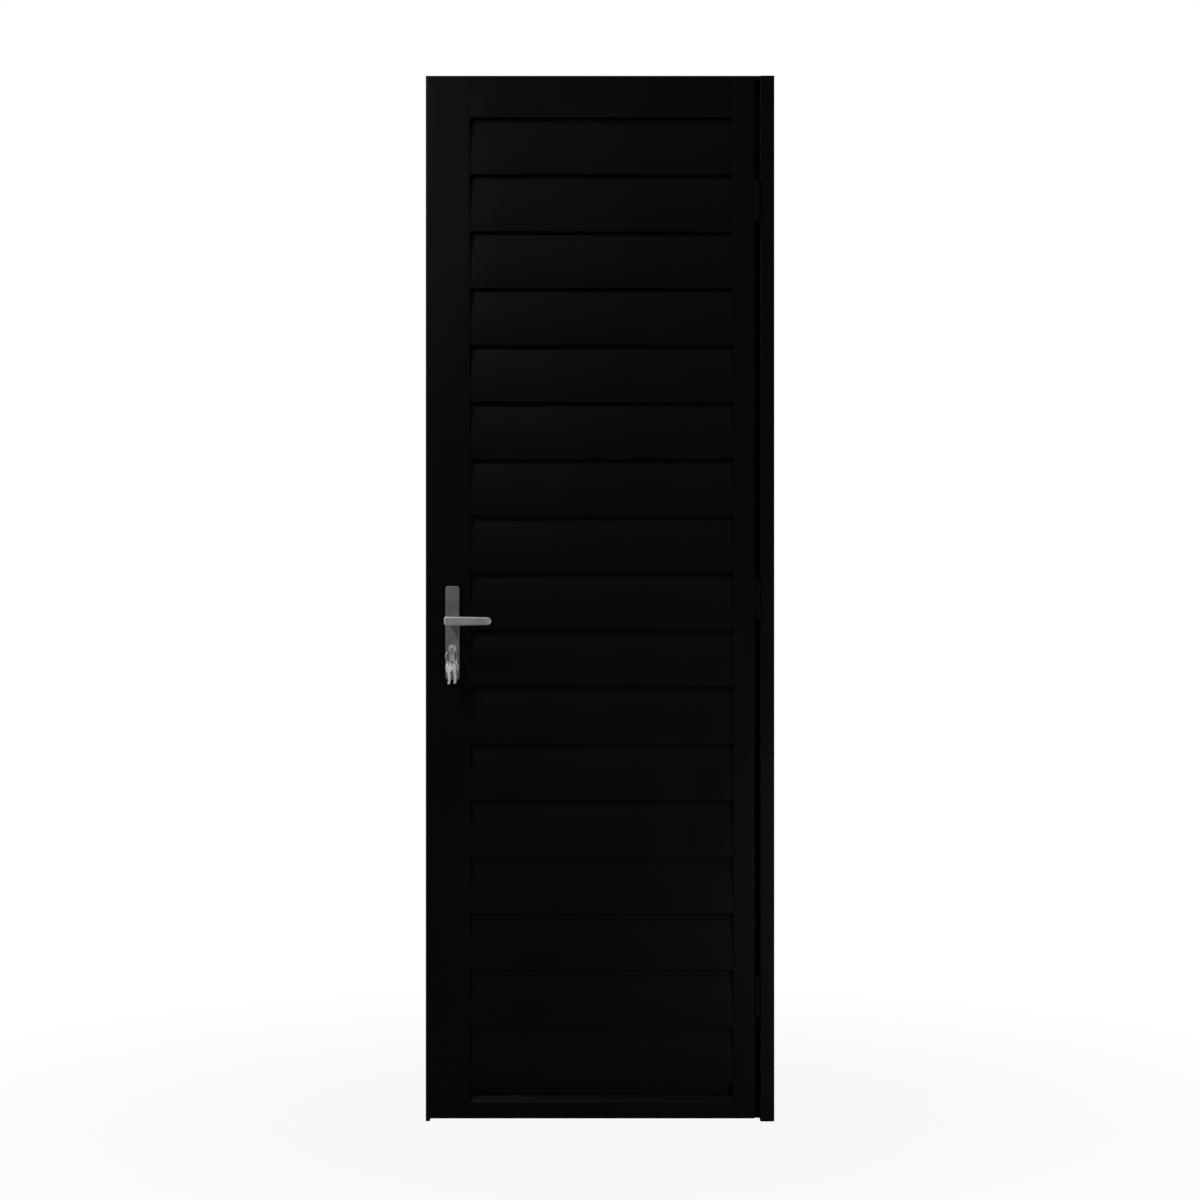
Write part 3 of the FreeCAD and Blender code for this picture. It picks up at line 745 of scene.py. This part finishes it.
class GeometryTree(NodeTree):
    """Geometry Nodes tree with named inputs, run once on an object to give a plain mesh."""

    prefix = "GeometryNode"

    def __init__(self, name: str, inputs: dict[str, str]) -> None:
        """Makes a tree with a geometry input and output and named inputs.

        Args:
            name: Name of the tree.
            inputs: Kind of each named input, such as Float, Int, Vector or Material.
        """
        super().__init__(bpy.data.node_groups.new(name, "GeometryNodeTree"))
        self.sockets: dict[str, str] = {}
        for way in ("INPUT", "OUTPUT"):
            self.tree.interface.new_socket("Geometry", in_out=way, socket_type="NodeSocketGeometry")
        for key, kind in inputs.items():
            made = self.tree.interface.new_socket(key, in_out="INPUT", socket_type=f"NodeSocket{kind}")
            self.sockets[key] = made.identifier
        self.given = self.tree.nodes.new("NodeGroupInput").outputs
        self.end = self.tree.nodes.new("NodeGroupOutput")

    def finish(self, geometry: Socket) -> None:
        """Realizes the instances, sets the material and ends the tree.

        Args:
            geometry: All that the tree has made.
        """
        realized = self.node("RealizeInstances", {"Geometry": geometry}).outputs[0]
        dressed = self.node("SetMaterial", {"Geometry": realized, "Material": self.given["Material"]})
        self.tree.links.new(dressed.outputs[0], self.end.inputs[0])

    def run(self, data: Mesh | bpy.types.Curve, values: dict[str, object]) -> Mesh:
        """Runs the tree once.

        Args:
            data: Points or curve that the tree works on.
            values: Values of the named inputs.

        Returns:
            The plain mesh.
        """
        holder = bpy.data.objects.new(data.name, data)
        modifier = holder.modifiers.new(self.tree.name, "NODES")
        modifier.node_group = self.tree
        for key, value in values.items():
            modifier[self.sockets[key]] = value
        return plain_mesh(holder)


@dataclass
class CoatedSections:
    """Extruded sections of frame and leaf, with the rounded edges that a die leaves."""

    frame_nodes: tuple[str, ...] = ("lock_jamb", "lock_stop", "hinge_jamb", "head", "head_stop")
    leaf_nodes: tuple[str, ...] = ("lock_stile", "hinge_stile", "top_rail", "bottom_rail")
    edge: float = 0.7 * MM
    shortest_edge: float = 4 * MM

    def build(self) -> None:
        """Replaces each section by its softened copy."""
        for body, nodes in ((Body.FRAME, self.frame_nodes), (Body.LEAF, self.leaf_nodes)):
            for node in nodes:
                mesh = softened(node, self.edge, self.shortest_edge)
                add_piece(f"{node}_section", mesh, Finishes.COAT, body, [node])


@dataclass
class Louvre:
    """Convex slats of the leaf, one section drawn out across the leaf and stepped down it."""

    count: int = 17
    sheet: float = 1.4 * MM
    drip_return: float = 5 * MM
    upturn: float = 6 * MM
    flange: float = 6 * MM
    face_radius: float = 500 * MM
    nose: float = 0.9 * MM
    face_steps: int = 20

    def section(self) -> Outline:
        """Draws the section of a slat.

        Returns:
            Its outline, depth across and height up from its bottom edge.
        """
        low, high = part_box("slat_01")
        height = high.z - low.z
        rake = high.y - low.y - self.flange
        outer = self.face((0, 0), (rake, height))
        inner = self.face((self.sheet, self.sheet), (rake + self.sheet, height - self.sheet))
        tail = [(rake + self.flange, height - self.sheet), (rake + self.flange, height)]
        foot = [
            (self.drip_return, 0),
            (self.drip_return, self.upturn),
            (self.drip_return - self.sheet, self.upturn),
            (self.drip_return - self.sheet, self.sheet),
        ]
        return rounded_corners(inner + tail + outer[::-1] + foot, self.nose)

    def face(self, start: Point, end: Point) -> Outline:
        """Draws the convex face.

        Args:
            start: Its bottom edge.
            end: Its top edge.

        Returns:
            Points of its arc.
        """
        first, last = Vector(start), Vector(end)
        chord = last - first
        left = Vector((-chord.y, chord.x)).normalized()
        reach = math.sqrt(self.face_radius**2 - (chord.length / 2) ** 2)
        centre = (first + last) / 2 - left * reach
        start_deg = math.degrees(math.atan2(first.y - centre.y, first.x - centre.x))
        end_deg = math.degrees(math.atan2(last.y - centre.y, last.x - centre.x))
        turn_deg = math.remainder(end_deg - start_deg, 360)
        return arc((centre.x, centre.y), self.face_radius, start_deg, start_deg + turn_deg, self.face_steps)

    def tree(self) -> GeometryTree:
        """Builds the tree that fills the section, draws it out across the leaf and steps it down.

        Returns:
            The tree.
        """
        vectors = {"Length": "Vector", "Start": "Vector", "Step": "Vector"}
        tree = GeometryTree("slat_run", {**vectors, "Count": "Int", "Material": "Material"})
        given = tree.given
        filled = tree.node("FillCurve", {"Curve": given["Geometry"]}).outputs[0]
        sweep = {"Mesh": filled, "Offset": given["Length"]}
        drawn = tree.node("ExtrudeMesh", sweep, mode="FACES", Individual=False)
        turned = tree.node("FlipFaces", {"Mesh": filled})
        closed = tree.node("JoinGeometry")
        for part in (turned, drawn):
            tree.tree.links.new(part.outputs[0], closed.inputs[0])
        merged = tree.node("MergeByDistance", {"Geometry": closed.outputs[0]}, Distance=10 * TOUCH)
        upright = (math.pi / 2, 0, math.pi / 2)
        laid = tree.node("Transform", {"Geometry": merged.outputs[0]}, Rotation=upright)
        run = {"Count": given["Count"], "Start Location": given["Start"], "Offset": given["Step"]}
        places = tree.node("MeshLine", run)
        placed = tree.node("InstanceOnPoints", {"Points": places.outputs[0], "Instance": laid.outputs[0]})
        tree.finish(placed.outputs[0])
        return tree

    def build(self) -> None:
        """Builds every slat as one piece on the leaf."""
        low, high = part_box("slat_01")
        pitch = low.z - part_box("slat_02")[0].z
        values = {
            "Length": (0, 0, high.x - low.x),
            "Start": tuple(low),
            "Step": (0, 0, -pitch),
            "Count": self.count,
            "Material": Finishes.material(Finishes.COAT),
        }
        mesh = self.tree().run(outline_curve("slat_section", [self.section()]), values)
        nodes = [f"slat_{index:02d}" for index in range(1, self.count + 1)]
        slats = settle_outward(shape_of(mesh), "louvre_slats")
        add_piece("louvre_slats", slats, Finishes.COAT, Body.LEAF, nodes)


@dataclass(frozen=True)
class Screw:
    """Place of a screw head: a point under it and the direction that it faces."""

    place: Vector
    facing: Vector


def end_screws(node: str, face: Point, inset: float, ahead: Vector) -> list[Screw]:
    """Places a screw near each end of an upright node.

    Args:
        node: CAD node that the screws hold.
        face: X and Y of the screws.
        inset: Distance of each from its end.
        ahead: Direction that both face.

    Returns:
        Both screws.
    """
    low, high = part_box(node)
    return [Screw(Vector((*face, height)), ahead) for height in (low.z + inset, high.z - inset)]


@dataclass(frozen=True)
class ScrewSet:
    """Cross-recessed screw heads of one size, set on points."""

    radius: float
    height: float
    taper: float = 0.78  # radius of the flat top, as a share of the head's radius
    recess: float = 0.62  # reach of the cross, as a share of it
    recess_width: float = 0.2  # half width of its slots, as a share of it
    sides: int = 20
    sharp_deg: float = 30.0

    def tree(self) -> GeometryTree:
        """Builds the tree that cuts a cross into a tapered head and sets a head on each point.

        Returns:
            The tree.
        """
        lengths = {"Radius": "Float", "Top Radius": "Float", "Height": "Float"}
        slots = {"Long": "Vector", "Wide": "Vector"}
        tree = GeometryTree("screw_heads", {**lengths, **slots, "Material": "Material"})
        given = tree.given
        radii = {"Radius Bottom": given["Radius"], "Radius Top": given["Top Radius"]}
        head = tree.node("MeshCone", {**radii, "Depth": given["Height"]}, Vertices=self.sides)
        cut = tree.node("MeshBoolean", {"Mesh 1": head.outputs["Mesh"]}, operation="DIFFERENCE")
        for size in slots:
            slot = tree.node("MeshCube", {"Size": given[size]}).outputs["Mesh"]
            raised = tree.node("Transform", {"Geometry": slot}, Translation=(0, 0, self.height))
            tree.tree.links.new(raised.outputs[0], cut.inputs["Mesh 2"])
        aim = tree.node("InputNamedAttribute", data_type="FLOAT_VECTOR", Name="facing").outputs["Attribute"]
        turn = tree.node("FunctionNodeAlignRotationToVector", {"Vector": aim}, axis="Z").outputs["Rotation"]
        spots = {"Points": given["Geometry"], "Instance": cut.outputs["Mesh"], "Rotation": turn}
        tree.finish(tree.node("InstanceOnPoints", spots).outputs[0])
        return tree

    def build(self, name: str, screws: Sequence[Screw], finish: Finish, body: Body) -> None:
        """Builds the heads as one piece.

        Args:
            name: Name of the piece.
            screws: Places of the heads.
            finish: Finish of the heads.
            body: Body that they ride on.
        """
        points = bpy.data.meshes.new(f"{name}_points")
        points.from_pydata([screw.place for screw in screws], [], [])
        facings = points.attributes.new("facing", "FLOAT_VECTOR", "POINT")
        for entry, screw in zip(facings.data, screws):
            entry.vector = screw.facing
        reach = 2 * self.radius * self.recess
        width = 2 * self.radius * self.recess_width
        values = {
            "Radius": self.radius,
            "Top Radius": self.radius * self.taper,
            "Height": self.height,
            "Long": (reach, width, self.height),
            "Wide": (width, reach, self.height),
            "Material": Finishes.material(finish),
        }
        mesh = self.tree().run(points, values)
        add_piece(name, settle_outward(shape_of(mesh), name, self.sharp_deg), finish, body)


@dataclass
class Hinges:
    """Three barrel hinges in the groove beside the leaf."""

    count: int = 3
    edge: float = 0.35 * MM
    shortest_edge: float = 1 * MM
    flange: float = 2 * MM
    cap_radius: float = 5.17 * MM
    cap_rise: float = 2.6 * MM
    cap_deg: float = 80.0
    cap_steps: int = 6
    cap_sides: int = 32
    screw_inset: float = 13 * MM
    screw_depth: float = 7.5 * MM
    heads: ScrewSet = ScrewSet(radius=3.2 * MM, height=1.0 * MM)

    def build(self) -> None:
        """Softens both halves of each hinge and adds the pins' caps and the screws."""
        halves = (("frame", Body.FRAME, -1), ("leaf", Body.LEAF, 1))
        screws: dict[str, list[Screw]] = {"frame": [], "leaf": []}
        caps: list[Shape] = []
        for index in range(1, self.count + 1):
            for half, body, towards in halves:
                node = f"hinge_{half}_half_{index}"
                mesh = softened(node, self.edge, self.shortest_edge)
                add_piece(f"{node}_steel", mesh, Finishes.HINGE_COAT, body, [node])
                low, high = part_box(node)
                back = low.x if towards > 0 else high.x
                face = (back + towards * self.flange, high.y - self.screw_depth)
                screws[half] += end_screws(node, face, self.screw_inset, Vector((towards, 0, 0)))
            caps += self.caps(f"hinge_frame_half_{index}")
        add_piece("hinge_pin_caps", settle(joined(caps), "hinge_pin_caps"), Finishes.HINGE_COAT, Body.FRAME)
        for half, body, _ in halves:
            self.heads.build(f"hinge_{half}_screws", screws[half], Finishes.HINGE_COAT, body)

    def caps(self, node: str) -> list[Shape]:
        """Turns the domed caps at both ends of a pin.

        Args:
            node: Half of a hinge that holds the pin.

        Returns:
            Both caps.
        """
        low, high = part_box(node)
        axis = Joint.LEAF_SWING.point()
        dome = arc((0, 0), 1.0, 0, self.cap_deg, self.cap_steps)
        profile = [(self.cap_radius * across, self.cap_rise * rise) for across, rise in dome]
        shapes = []
        for height, up in ((high.z, 1), (low.z, -1)):
            place = facing(Vector((axis.x, axis.y, height)), Vector((0, 0, up)), Vector((0, 1, 0)))
            shapes.append(lathe(profile, self.cap_sides, place))
        return shapes


@dataclass
class LockEdge:
    """Faceplate and bolts in the leaf's edge, the strike plate in the jamb and the levers' spindle."""

    edge: float = 0.3 * MM
    bolt_edge: float = 0.9 * MM
    shortest_edge: float = 0.5 * MM
    screw_inset: float = 7 * MM
    heads: ScrewSet = ScrewSet(radius=3.4 * MM, height=0.8 * MM)

    def build(self) -> None:
        """Softens the plates, bolts and spindle and adds the plates' screws."""
        for node, body, edge in (
            ("lock_faceplate", Body.LEAF, self.edge),
            ("latch_bolt", Body.LEAF, self.bolt_edge),
            ("dead_bolt", Body.LEAF, self.bolt_edge),
            ("strike_plate", Body.FRAME, self.edge),
            ("lever_spindle", Body.LEVER, self.edge),
        ):
            mesh = softened(node, edge, self.shortest_edge)
            add_piece(f"{node}_steel", mesh, Finishes.LOCK_STEEL, body, [node])
        for name, node, body, towards in (
            ("faceplate_screws", "lock_faceplate", Body.LEAF, -1),
            ("strike_screws", "strike_plate", Body.FRAME, 1),
        ):
            low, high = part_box(node)
            face = (high.x if towards > 0 else low.x, (low.y + high.y) / 2)
            screws = end_screws(node, face, self.screw_inset, Vector((towards, 0, 0)))
            self.heads.build(name, screws, Finishes.LOCK_STEEL, body)


@dataclass
class HandleSet:
    """Narrow plates and levers on both faces of the leaf, with the cylinder between them."""

    plate_corner: float = 6 * MM
    plate_rounding: float = 1.8 * MM
    spindle_hole: float = 7 * MM
    spindle_steps: int = 48
    keyhole_drop: float = 56 * MM
    keyhole_radius: float = 8.75 * MM
    keyhole_web: float = 10.5 * MM
    keyhole_tail: float = 24.75 * MM
    keyhole_steps: int = 32
    keyhole_foot_steps: int = 12
    cylinder_edge: float = 0.3 * MM
    neck_radius: float = 8.5 * MM
    neck_chamfer: float = 0.4 * MM
    neck_flare: float = 0.6 * MM
    neck_collar: float = 1.8 * MM  # length from the flare's foot to the neck's end
    neck_steps: int = 6
    neck_sides: int = 40
    grip_root: float = 9.5 * MM
    grip_tip: float = 8 * MM
    grip_back: float = 14 * MM
    grip_corner: float = 5 * MM
    grip_length: float = 80 * MM
    grip_thickness: float = 11 * MM
    grip_rounding: float = 3.6 * MM
    rounding_steps: int = 5
    tip_steps: int = 20
    corner_steps: int = 8
    screw_inset: float = 9 * MM
    heads: ScrewSet = ScrewSet(radius=3.6 * MM, height=0.9 * MM)
    axis: Vector = field(default_factory=Joint.LEVER_TURN.point)

    def build(self) -> None:
        """Builds both plates, both levers, the cylinder and the inner plate's screws."""
        for side in Side:
            self.handle_plate(side)
            self.lever(side)
        cylinder = softened("lock_cylinder", self.cylinder_edge, self.cylinder_edge)
        add_piece("lock_cylinder_body", cylinder, Finishes.CYLINDER, Body.LEAF, ["lock_cylinder"])
        face = (self.axis.x, Side.BACK.end("back_plate"))
        screws = end_screws("back_plate", face, self.screw_inset, Vector((0, 1, 0)))
        self.heads.build("handle_screws", screws, Finishes.PLATE, Body.LEAF)

    def plane(self, side: Side, depth: float) -> Matrix:
        """Lays a plane square to Y on the lever's axis.

        Args:
            side: Face of the leaf that local Z points away from.
            depth: Y of the plane.

        Returns:
            Matrix from the plane to the door's frame, with local X along the lever.
        """
        flip = Matrix.Diagonal((-side.value, 1, 1, 1))
        return facing(Vector((self.axis.x, depth, self.axis.z)), Vector((0, side.value, 0))) @ flip

    def handle_plate(self, side: Side) -> None:
        """Builds a handle plate with the holes of spindle and cylinder.

        Args:
            side: Face of the leaf that it is on.
        """
        node = side.label("plate")
        low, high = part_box(node)
        half = (high.x - low.x) / 2 - self.plate_corner
        foot = low.z - self.axis.z + self.plate_corner
        top = high.z - self.axis.z - self.plate_corner
        corners = (((-half, foot), 180), ((half, foot), 270), ((half, top), 0), ((-half, top), 90))
        outline: Outline = []
        for centre, start in corners:
            outline += arc(centre, self.plate_corner, start, start + 90, self.corner_steps)
        outlines = [outline, circle((0, 0), self.spindle_hole, self.spindle_steps), self.keyhole()]
        place = self.plane(side, side.seat(node))
        work = plate(outlines, high.y - low.y, self.plate_rounding, place, both_faces=False)
        mesh = settle_outward(work, node)
        add_piece(side.label("handle_plate"), mesh, Finishes.PLATE, Body.LEAF, [node])

    def keyhole(self) -> Outline:
        """Draws the cylinder's hole, a round top and a narrow web with a round foot.

        Returns:
            Its outline.
        """
        half = self.keyhole_web / 2
        start = math.degrees(math.asin(half / self.keyhole_radius))
        top = arc((0, -self.keyhole_drop), self.keyhole_radius, start - 90, 270 - start, self.keyhole_steps)
        foot = (0, half - self.keyhole_tail - self.keyhole_drop)
        return top + arc(foot, half, 180, 360, self.keyhole_foot_steps)

    def lever(self, side: Side) -> None:
        """Builds a lever, a rounded tapering grip on a flared neck.

        Args:
            side: Face of the leaf that it is on.
        """
        node = side.label("lever")
        blunt = self.grip_corner - self.grip_back
        rise = self.grip_root - self.grip_corner
        outline = arc((self.grip_length - self.grip_tip, 0), self.grip_tip, -90, 90, self.tip_steps)
        outline += arc((blunt, rise), self.grip_corner, 90, 180, self.corner_steps)
        outline += arc((blunt, -rise), self.grip_corner, 180, 270, self.corner_steps)
        back = side.end(node) - side.value * self.grip_thickness
        place = self.plane(side, back)
        grip = plate([outline], self.grip_thickness, self.grip_rounding, place, steps=self.rounding_steps)
        foot = side.seat(node)
        reach = abs(back - foot) + self.grip_rounding
        wide = self.neck_radius + self.neck_flare
        profile = [(self.neck_radius - self.neck_chamfer, 0.0), (self.neck_radius, self.neck_chamfer)]
        profile += arc((wide, reach - self.neck_collar), self.neck_flare, 180, 90, self.neck_steps)
        profile.append((wide, reach))
        stand = facing(Vector((self.axis.x, foot, self.axis.z)), Vector((0, side.value, 0)))
        mesh = settle_outward(joined((grip, lathe(profile, self.neck_sides, stand))), node)
        add_piece(side.label("lever_handle"), mesh, Finishes.LEVER, Body.LEVER, [node])


@dataclass
class KeyBunch:
    """Key in the lock, a split ring through its bow and two spare keys on the ring."""

    cylinder_radius: float = 8.5 * MM
    bow: float = 12 * MM
    bow_reach: float = 16 * MM
    bow_hole: float = 3 * MM
    bow_steps: int = 40
    hole_steps: int = 28
    hole_offset: float = 7.5 * MM
    thickness: float = 2.2 * MM
    rim: float = 0.4 * MM
    hole_rim: float = 0.35 * MM
    rim_steps: int = 2
    blade_width: float = 8 * MM
    blade_length: float = 22 * MM
    tip: float = 3 * MM
    tip_share: float = 0.6  # chamfer of the tip on the cut side, as a share of the other
    cut_depths: tuple[float, ...] = (1.4 * MM, 2.6 * MM, 1.8 * MM, 3.0 * MM, 1.0 * MM)
    cut_flat: float = 0.15  # half of a cut's flat bottom, as a share of its length
    spares: int = 2
    yaw_deg: float = 35
    wire: float = 0.62 * MM
    wire_resolution: int = 3
    ring_turns: int = 2
    ring_steps: int = 120
    ring_rise: float = 2.1  # rise of the whole coil in radii of the wire
    ring_sharp_deg: float = 60.0

    def build(self) -> None:
        """Builds the three keys and the ring."""
        low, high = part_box("lock_cylinder")
        reach = self.bow_reach + self.hole_offset
        hole = Vector((Joint.LEVER_TURN.point().x, low.y - reach, high.z - self.cylinder_radius))
        self.key("lock_key", facing(hole, Vector((1, 0, 0)), Vector((0, -1, 0))))
        yaw = Matrix.Rotation(math.radians(self.yaw_deg), 4, "Z")
        for index in range(1, self.spares + 1):
            low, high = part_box(f"spare_key_{index}")
            hole = (low + high) / 2
            hole.z = high.z - (self.bow - self.hole_offset)
            self.key(f"spare_key_{index}", facing(hole, yaw @ Vector((1, 0, 0))))
        low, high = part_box("key_ring")
        self.split_ring(Matrix.Translation((low + high) / 2) @ yaw, (high.z - low.z) / 2 - self.wire)

    def key(self, node: str, place: Matrix) -> None:
        """Builds a key with a round bow and a cut blade.

        Args:
            node: CAD node that it stands for.
            place: Matrix that puts its bow's hole, at the local origin, and its tip, along local -Y.
        """
        half = self.blade_width / 2
        start = math.degrees(math.asin(half / self.bow))
        outline = arc((0, -self.hole_offset), self.bow, start - 90, 270 - start, self.bow_steps)
        shoulder = -self.hole_offset - self.bow
        end = shoulder - self.blade_length
        outline += [(-half, end + self.tip), (self.tip - half, end), (half - self.tip_share * self.tip, end)]
        step = (self.blade_length - 2 * self.tip) / len(self.cut_depths)
        flat = self.cut_flat * step
        for index, depth in reversed(list(enumerate(self.cut_depths))):
            middle = shoulder - self.tip - step * (index + 0.5)
            outline.append((half, middle - 0.5 * step))
            outline += [(half - depth, middle - flat), (half - depth, middle + flat)]
        outline.append((half, shoulder - self.tip))
        outlines = [outline, circle((0, 0), self.bow_hole, self.hole_steps)]
        sunk = place @ Matrix.Translation((0, 0, -self.thickness / 2))
        work = plate(outlines, self.thickness, self.rim, sunk, self.hole_rim, self.rim_steps)
        add_piece(f"{node}_cut", settle_outward(work, node), Finishes.KEY_NICKEL, Body.LEAF, [node])

    def split_ring(self, place: Matrix, radius: float) -> None:
        """Builds the ring of coiled wire.

        Args:
            place: Matrix of the ring, which lies in the local XZ plane.
            radius: Radius of the wire's middle line.
        """
        curve = bpy.data.curves.new("split_ring", "CURVE")
        curve.dimensions = "3D"
        curve.bevel_depth = self.wire
        curve.bevel_resolution = self.wire_resolution
        curve.use_fill_caps = True
        spline = curve.splines.new("POLY")
        spline.points.add(self.ring_steps)
        for step, point in enumerate(spline.points):
            share = step / self.ring_steps
            turn = 2 * math.pi * self.ring_turns * share
            rise = (share - 0.5) * self.ring_rise * self.wire
            spot = place @ Vector((radius * math.cos(turn), rise, radius * math.sin(turn)))
            point.co = (*spot, 1)
        work = shape_of(plain_mesh(bpy.data.objects.new("split_ring", curve)))
        bmesh.ops.remove_doubles(work, verts=work.verts, dist=TOUCH)
        mesh = settle_outward(work, "split_ring", self.ring_sharp_deg)
        add_piece("split_ring", mesh, Finishes.KEY_NICKEL, Body.LEAF, ["key_ring"])


@dataclass(frozen=True)
class Softbox:
    """Square lamp: its name, place, side in metres and power in watts."""

    name: str
    place: tuple[float, float, float]
    size: float
    power: float


@dataclass
class Studio:
    """White surround, pale floor, soft lamps and the camera in front of the door."""

    frame_height: float = 2.409
    camera_height: float = 1.047
    camera_distance: float = 5.0
    sensor: float = 36.0
    floor_half: float = 9.0
    floor_tone: float = 0.6
    floor_roughness: float = 0.8
    floor_sheen: float = 0.1
    floor_glow: Ramp = Ramp(0.5, 1.8, 0.92, 1.0, Passage.STRAIGHT)  # share of white by metres from the door
    ambient: float = 0.025
    room: Ramp = Ramp(-0.05, 0.6, 0.04, 0.3)  # strength in reflections by the Z of a direction
    walls: Ramp = Ramp(0.7, 0.95, 0.0, 0.8)  # the same by its X, to either side
    backdrop: Ramp = Ramp(0.75, 0.92, 0.0, 1.0)  # the same by its Y
    lamps: tuple[Softbox, ...] = (
        Softbox("key_softbox", (-1.4, -0.95, 2.3), 0.25, 10.8),
        Softbox("right_softbox", (0.6, -1.1, 0.35), 0.4, 4.3),
        Softbox("back_softbox", (-1.8, 4.2, 3.6), 2.4, 60.0),
    )
    middle: Vector = field(default_factory=lambda: (CAD_BOX[0] + CAD_BOX[1]) / 2)

    def build(self) -> None:
        """Builds floor, surround, lamps and camera."""
        self.floor()
        self.surround()
        for softbox in self.lamps:
            self.lamp(softbox)
        self.camera()
        bpy.context.scene.view_settings.view_transform = "Standard"

    def floor(self) -> None:
        """Builds a pale floor that fades to white for the camera and keeps the door's shadow."""
        half = self.floor_half
        mesh = bpy.data.meshes.new("studio_floor")
        corners = [(-half, -half, 0), (half, -half, 0), (half, half, 0), (-half, half, 0)]
        mesh.from_pydata(corners, [], [(0, 1, 2, 3)])
        floor = in_scene("studio_floor", mesh)
        shading = Shading("pale_floor")
        shading.set(
            Base_Color=grey(self.floor_tone),
            Roughness=self.floor_roughness,
            Specular_IOR_Level=self.floor_sheen,
        )
        place = shading.node("TexCoord").outputs["Object"]
        reach = shading.node("VectorMath", {0: place}, operation="DISTANCE")
        reach.inputs[1].default_value = (self.middle.x, 0, 0)
        fade = shading.mapped(reach.outputs["Value"], self.floor_glow)
        seen = shading.node("LightPath").outputs["Is Camera Ray"]
        share = shading.node("Math", {0: seen, 1: fade}, operation="MULTIPLY").outputs[0]
        glow = shading.node("Emission").outputs[0]
        mix = shading.node("MixShader", {"Fac": share, 1: shading.shader.outputs[0], 2: glow})
        shading.tree.links.new(mix.outputs[0], shading.tree.nodes["Material Output"].inputs["Surface"])
        mesh.materials.append(shading.material)

    def surround(self) -> None:
        """Builds a surround that is white for the camera, and a dim room with pale walls in reflections."""
        world = bpy.data.worlds.new("studio_surround")
        bpy.context.scene.world = world
        world.use_nodes = True
        shade = world.node_tree.nodes["Background"]
        shade.inputs["Color"].default_value = grey(1.0)
        nodes = ShaderTree(world.node_tree)
        place = nodes.node("TexCoord").outputs["Generated"]
        axes = nodes.node("SeparateXYZ", {0: place}).outputs
        across = nodes.node("Math", {0: axes["X"]}, operation="ABSOLUTE").outputs[0]
        room = nodes.larger(nodes.mapped(axes["Z"], self.room), nodes.mapped(across, self.walls))
        seen = nodes.larger(room, nodes.mapped(axes["Y"], self.backdrop))
        path = nodes.node("LightPath").outputs
        mirrored = nodes.larger(path["Is Glossy Ray"], path["Is Transmission Ray"])
        lit = nodes.node("Mix", {"Factor": mirrored, "B": seen}, data_type="FLOAT", A=self.ambient)
        white = nodes.larger(lit.outputs["Result"], path["Is Camera Ray"])
        world.node_tree.links.new(white, shade.inputs["Strength"])

    def lamp(self, softbox: Softbox) -> None:
        """Sets up a lamp, aimed at the middle of the door.

        Args:
            softbox: Its place, size and power.
        """
        light = bpy.data.lights.new(softbox.name, "AREA")
        light.size = softbox.size
        light.energy = softbox.power
        lamp = in_scene(softbox.name, light)
        lamp.location = softbox.place
        lamp.rotation_euler = (self.middle - Vector(softbox.place)).to_track_quat("-Z", "Y").to_euler()

    def camera(self) -> None:
        """Sets up a level camera on the door's middle line, at the photograph's framing."""
        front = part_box("hinge_jamb")[0].y
        data = bpy.data.cameras.new("front_camera")
        data.sensor_width = self.sensor
        data.lens = self.sensor * self.camera_distance / self.frame_height
        camera = in_scene("front_camera", data)
        camera.location = (self.middle.x, front - self.camera_distance, self.camera_height)
        camera.rotation_euler = (math.pi / 2, 0, 0)
        bpy.context.scene.camera = camera


def main() -> None:
    """Builds the door's sub-assemblies, then the studio."""
    logging.basicConfig(level=logging.INFO, format="%(name)s: %(message)s")
    for assembly in (CoatedSections(), Louvre(), Hinges(), LockEdge(), HandleSet(), KeyBunch(), Studio()):
        assembly.build()
        LOG.info("%s done", type(assembly).__name__)


if __name__ == "__main__":
    main()
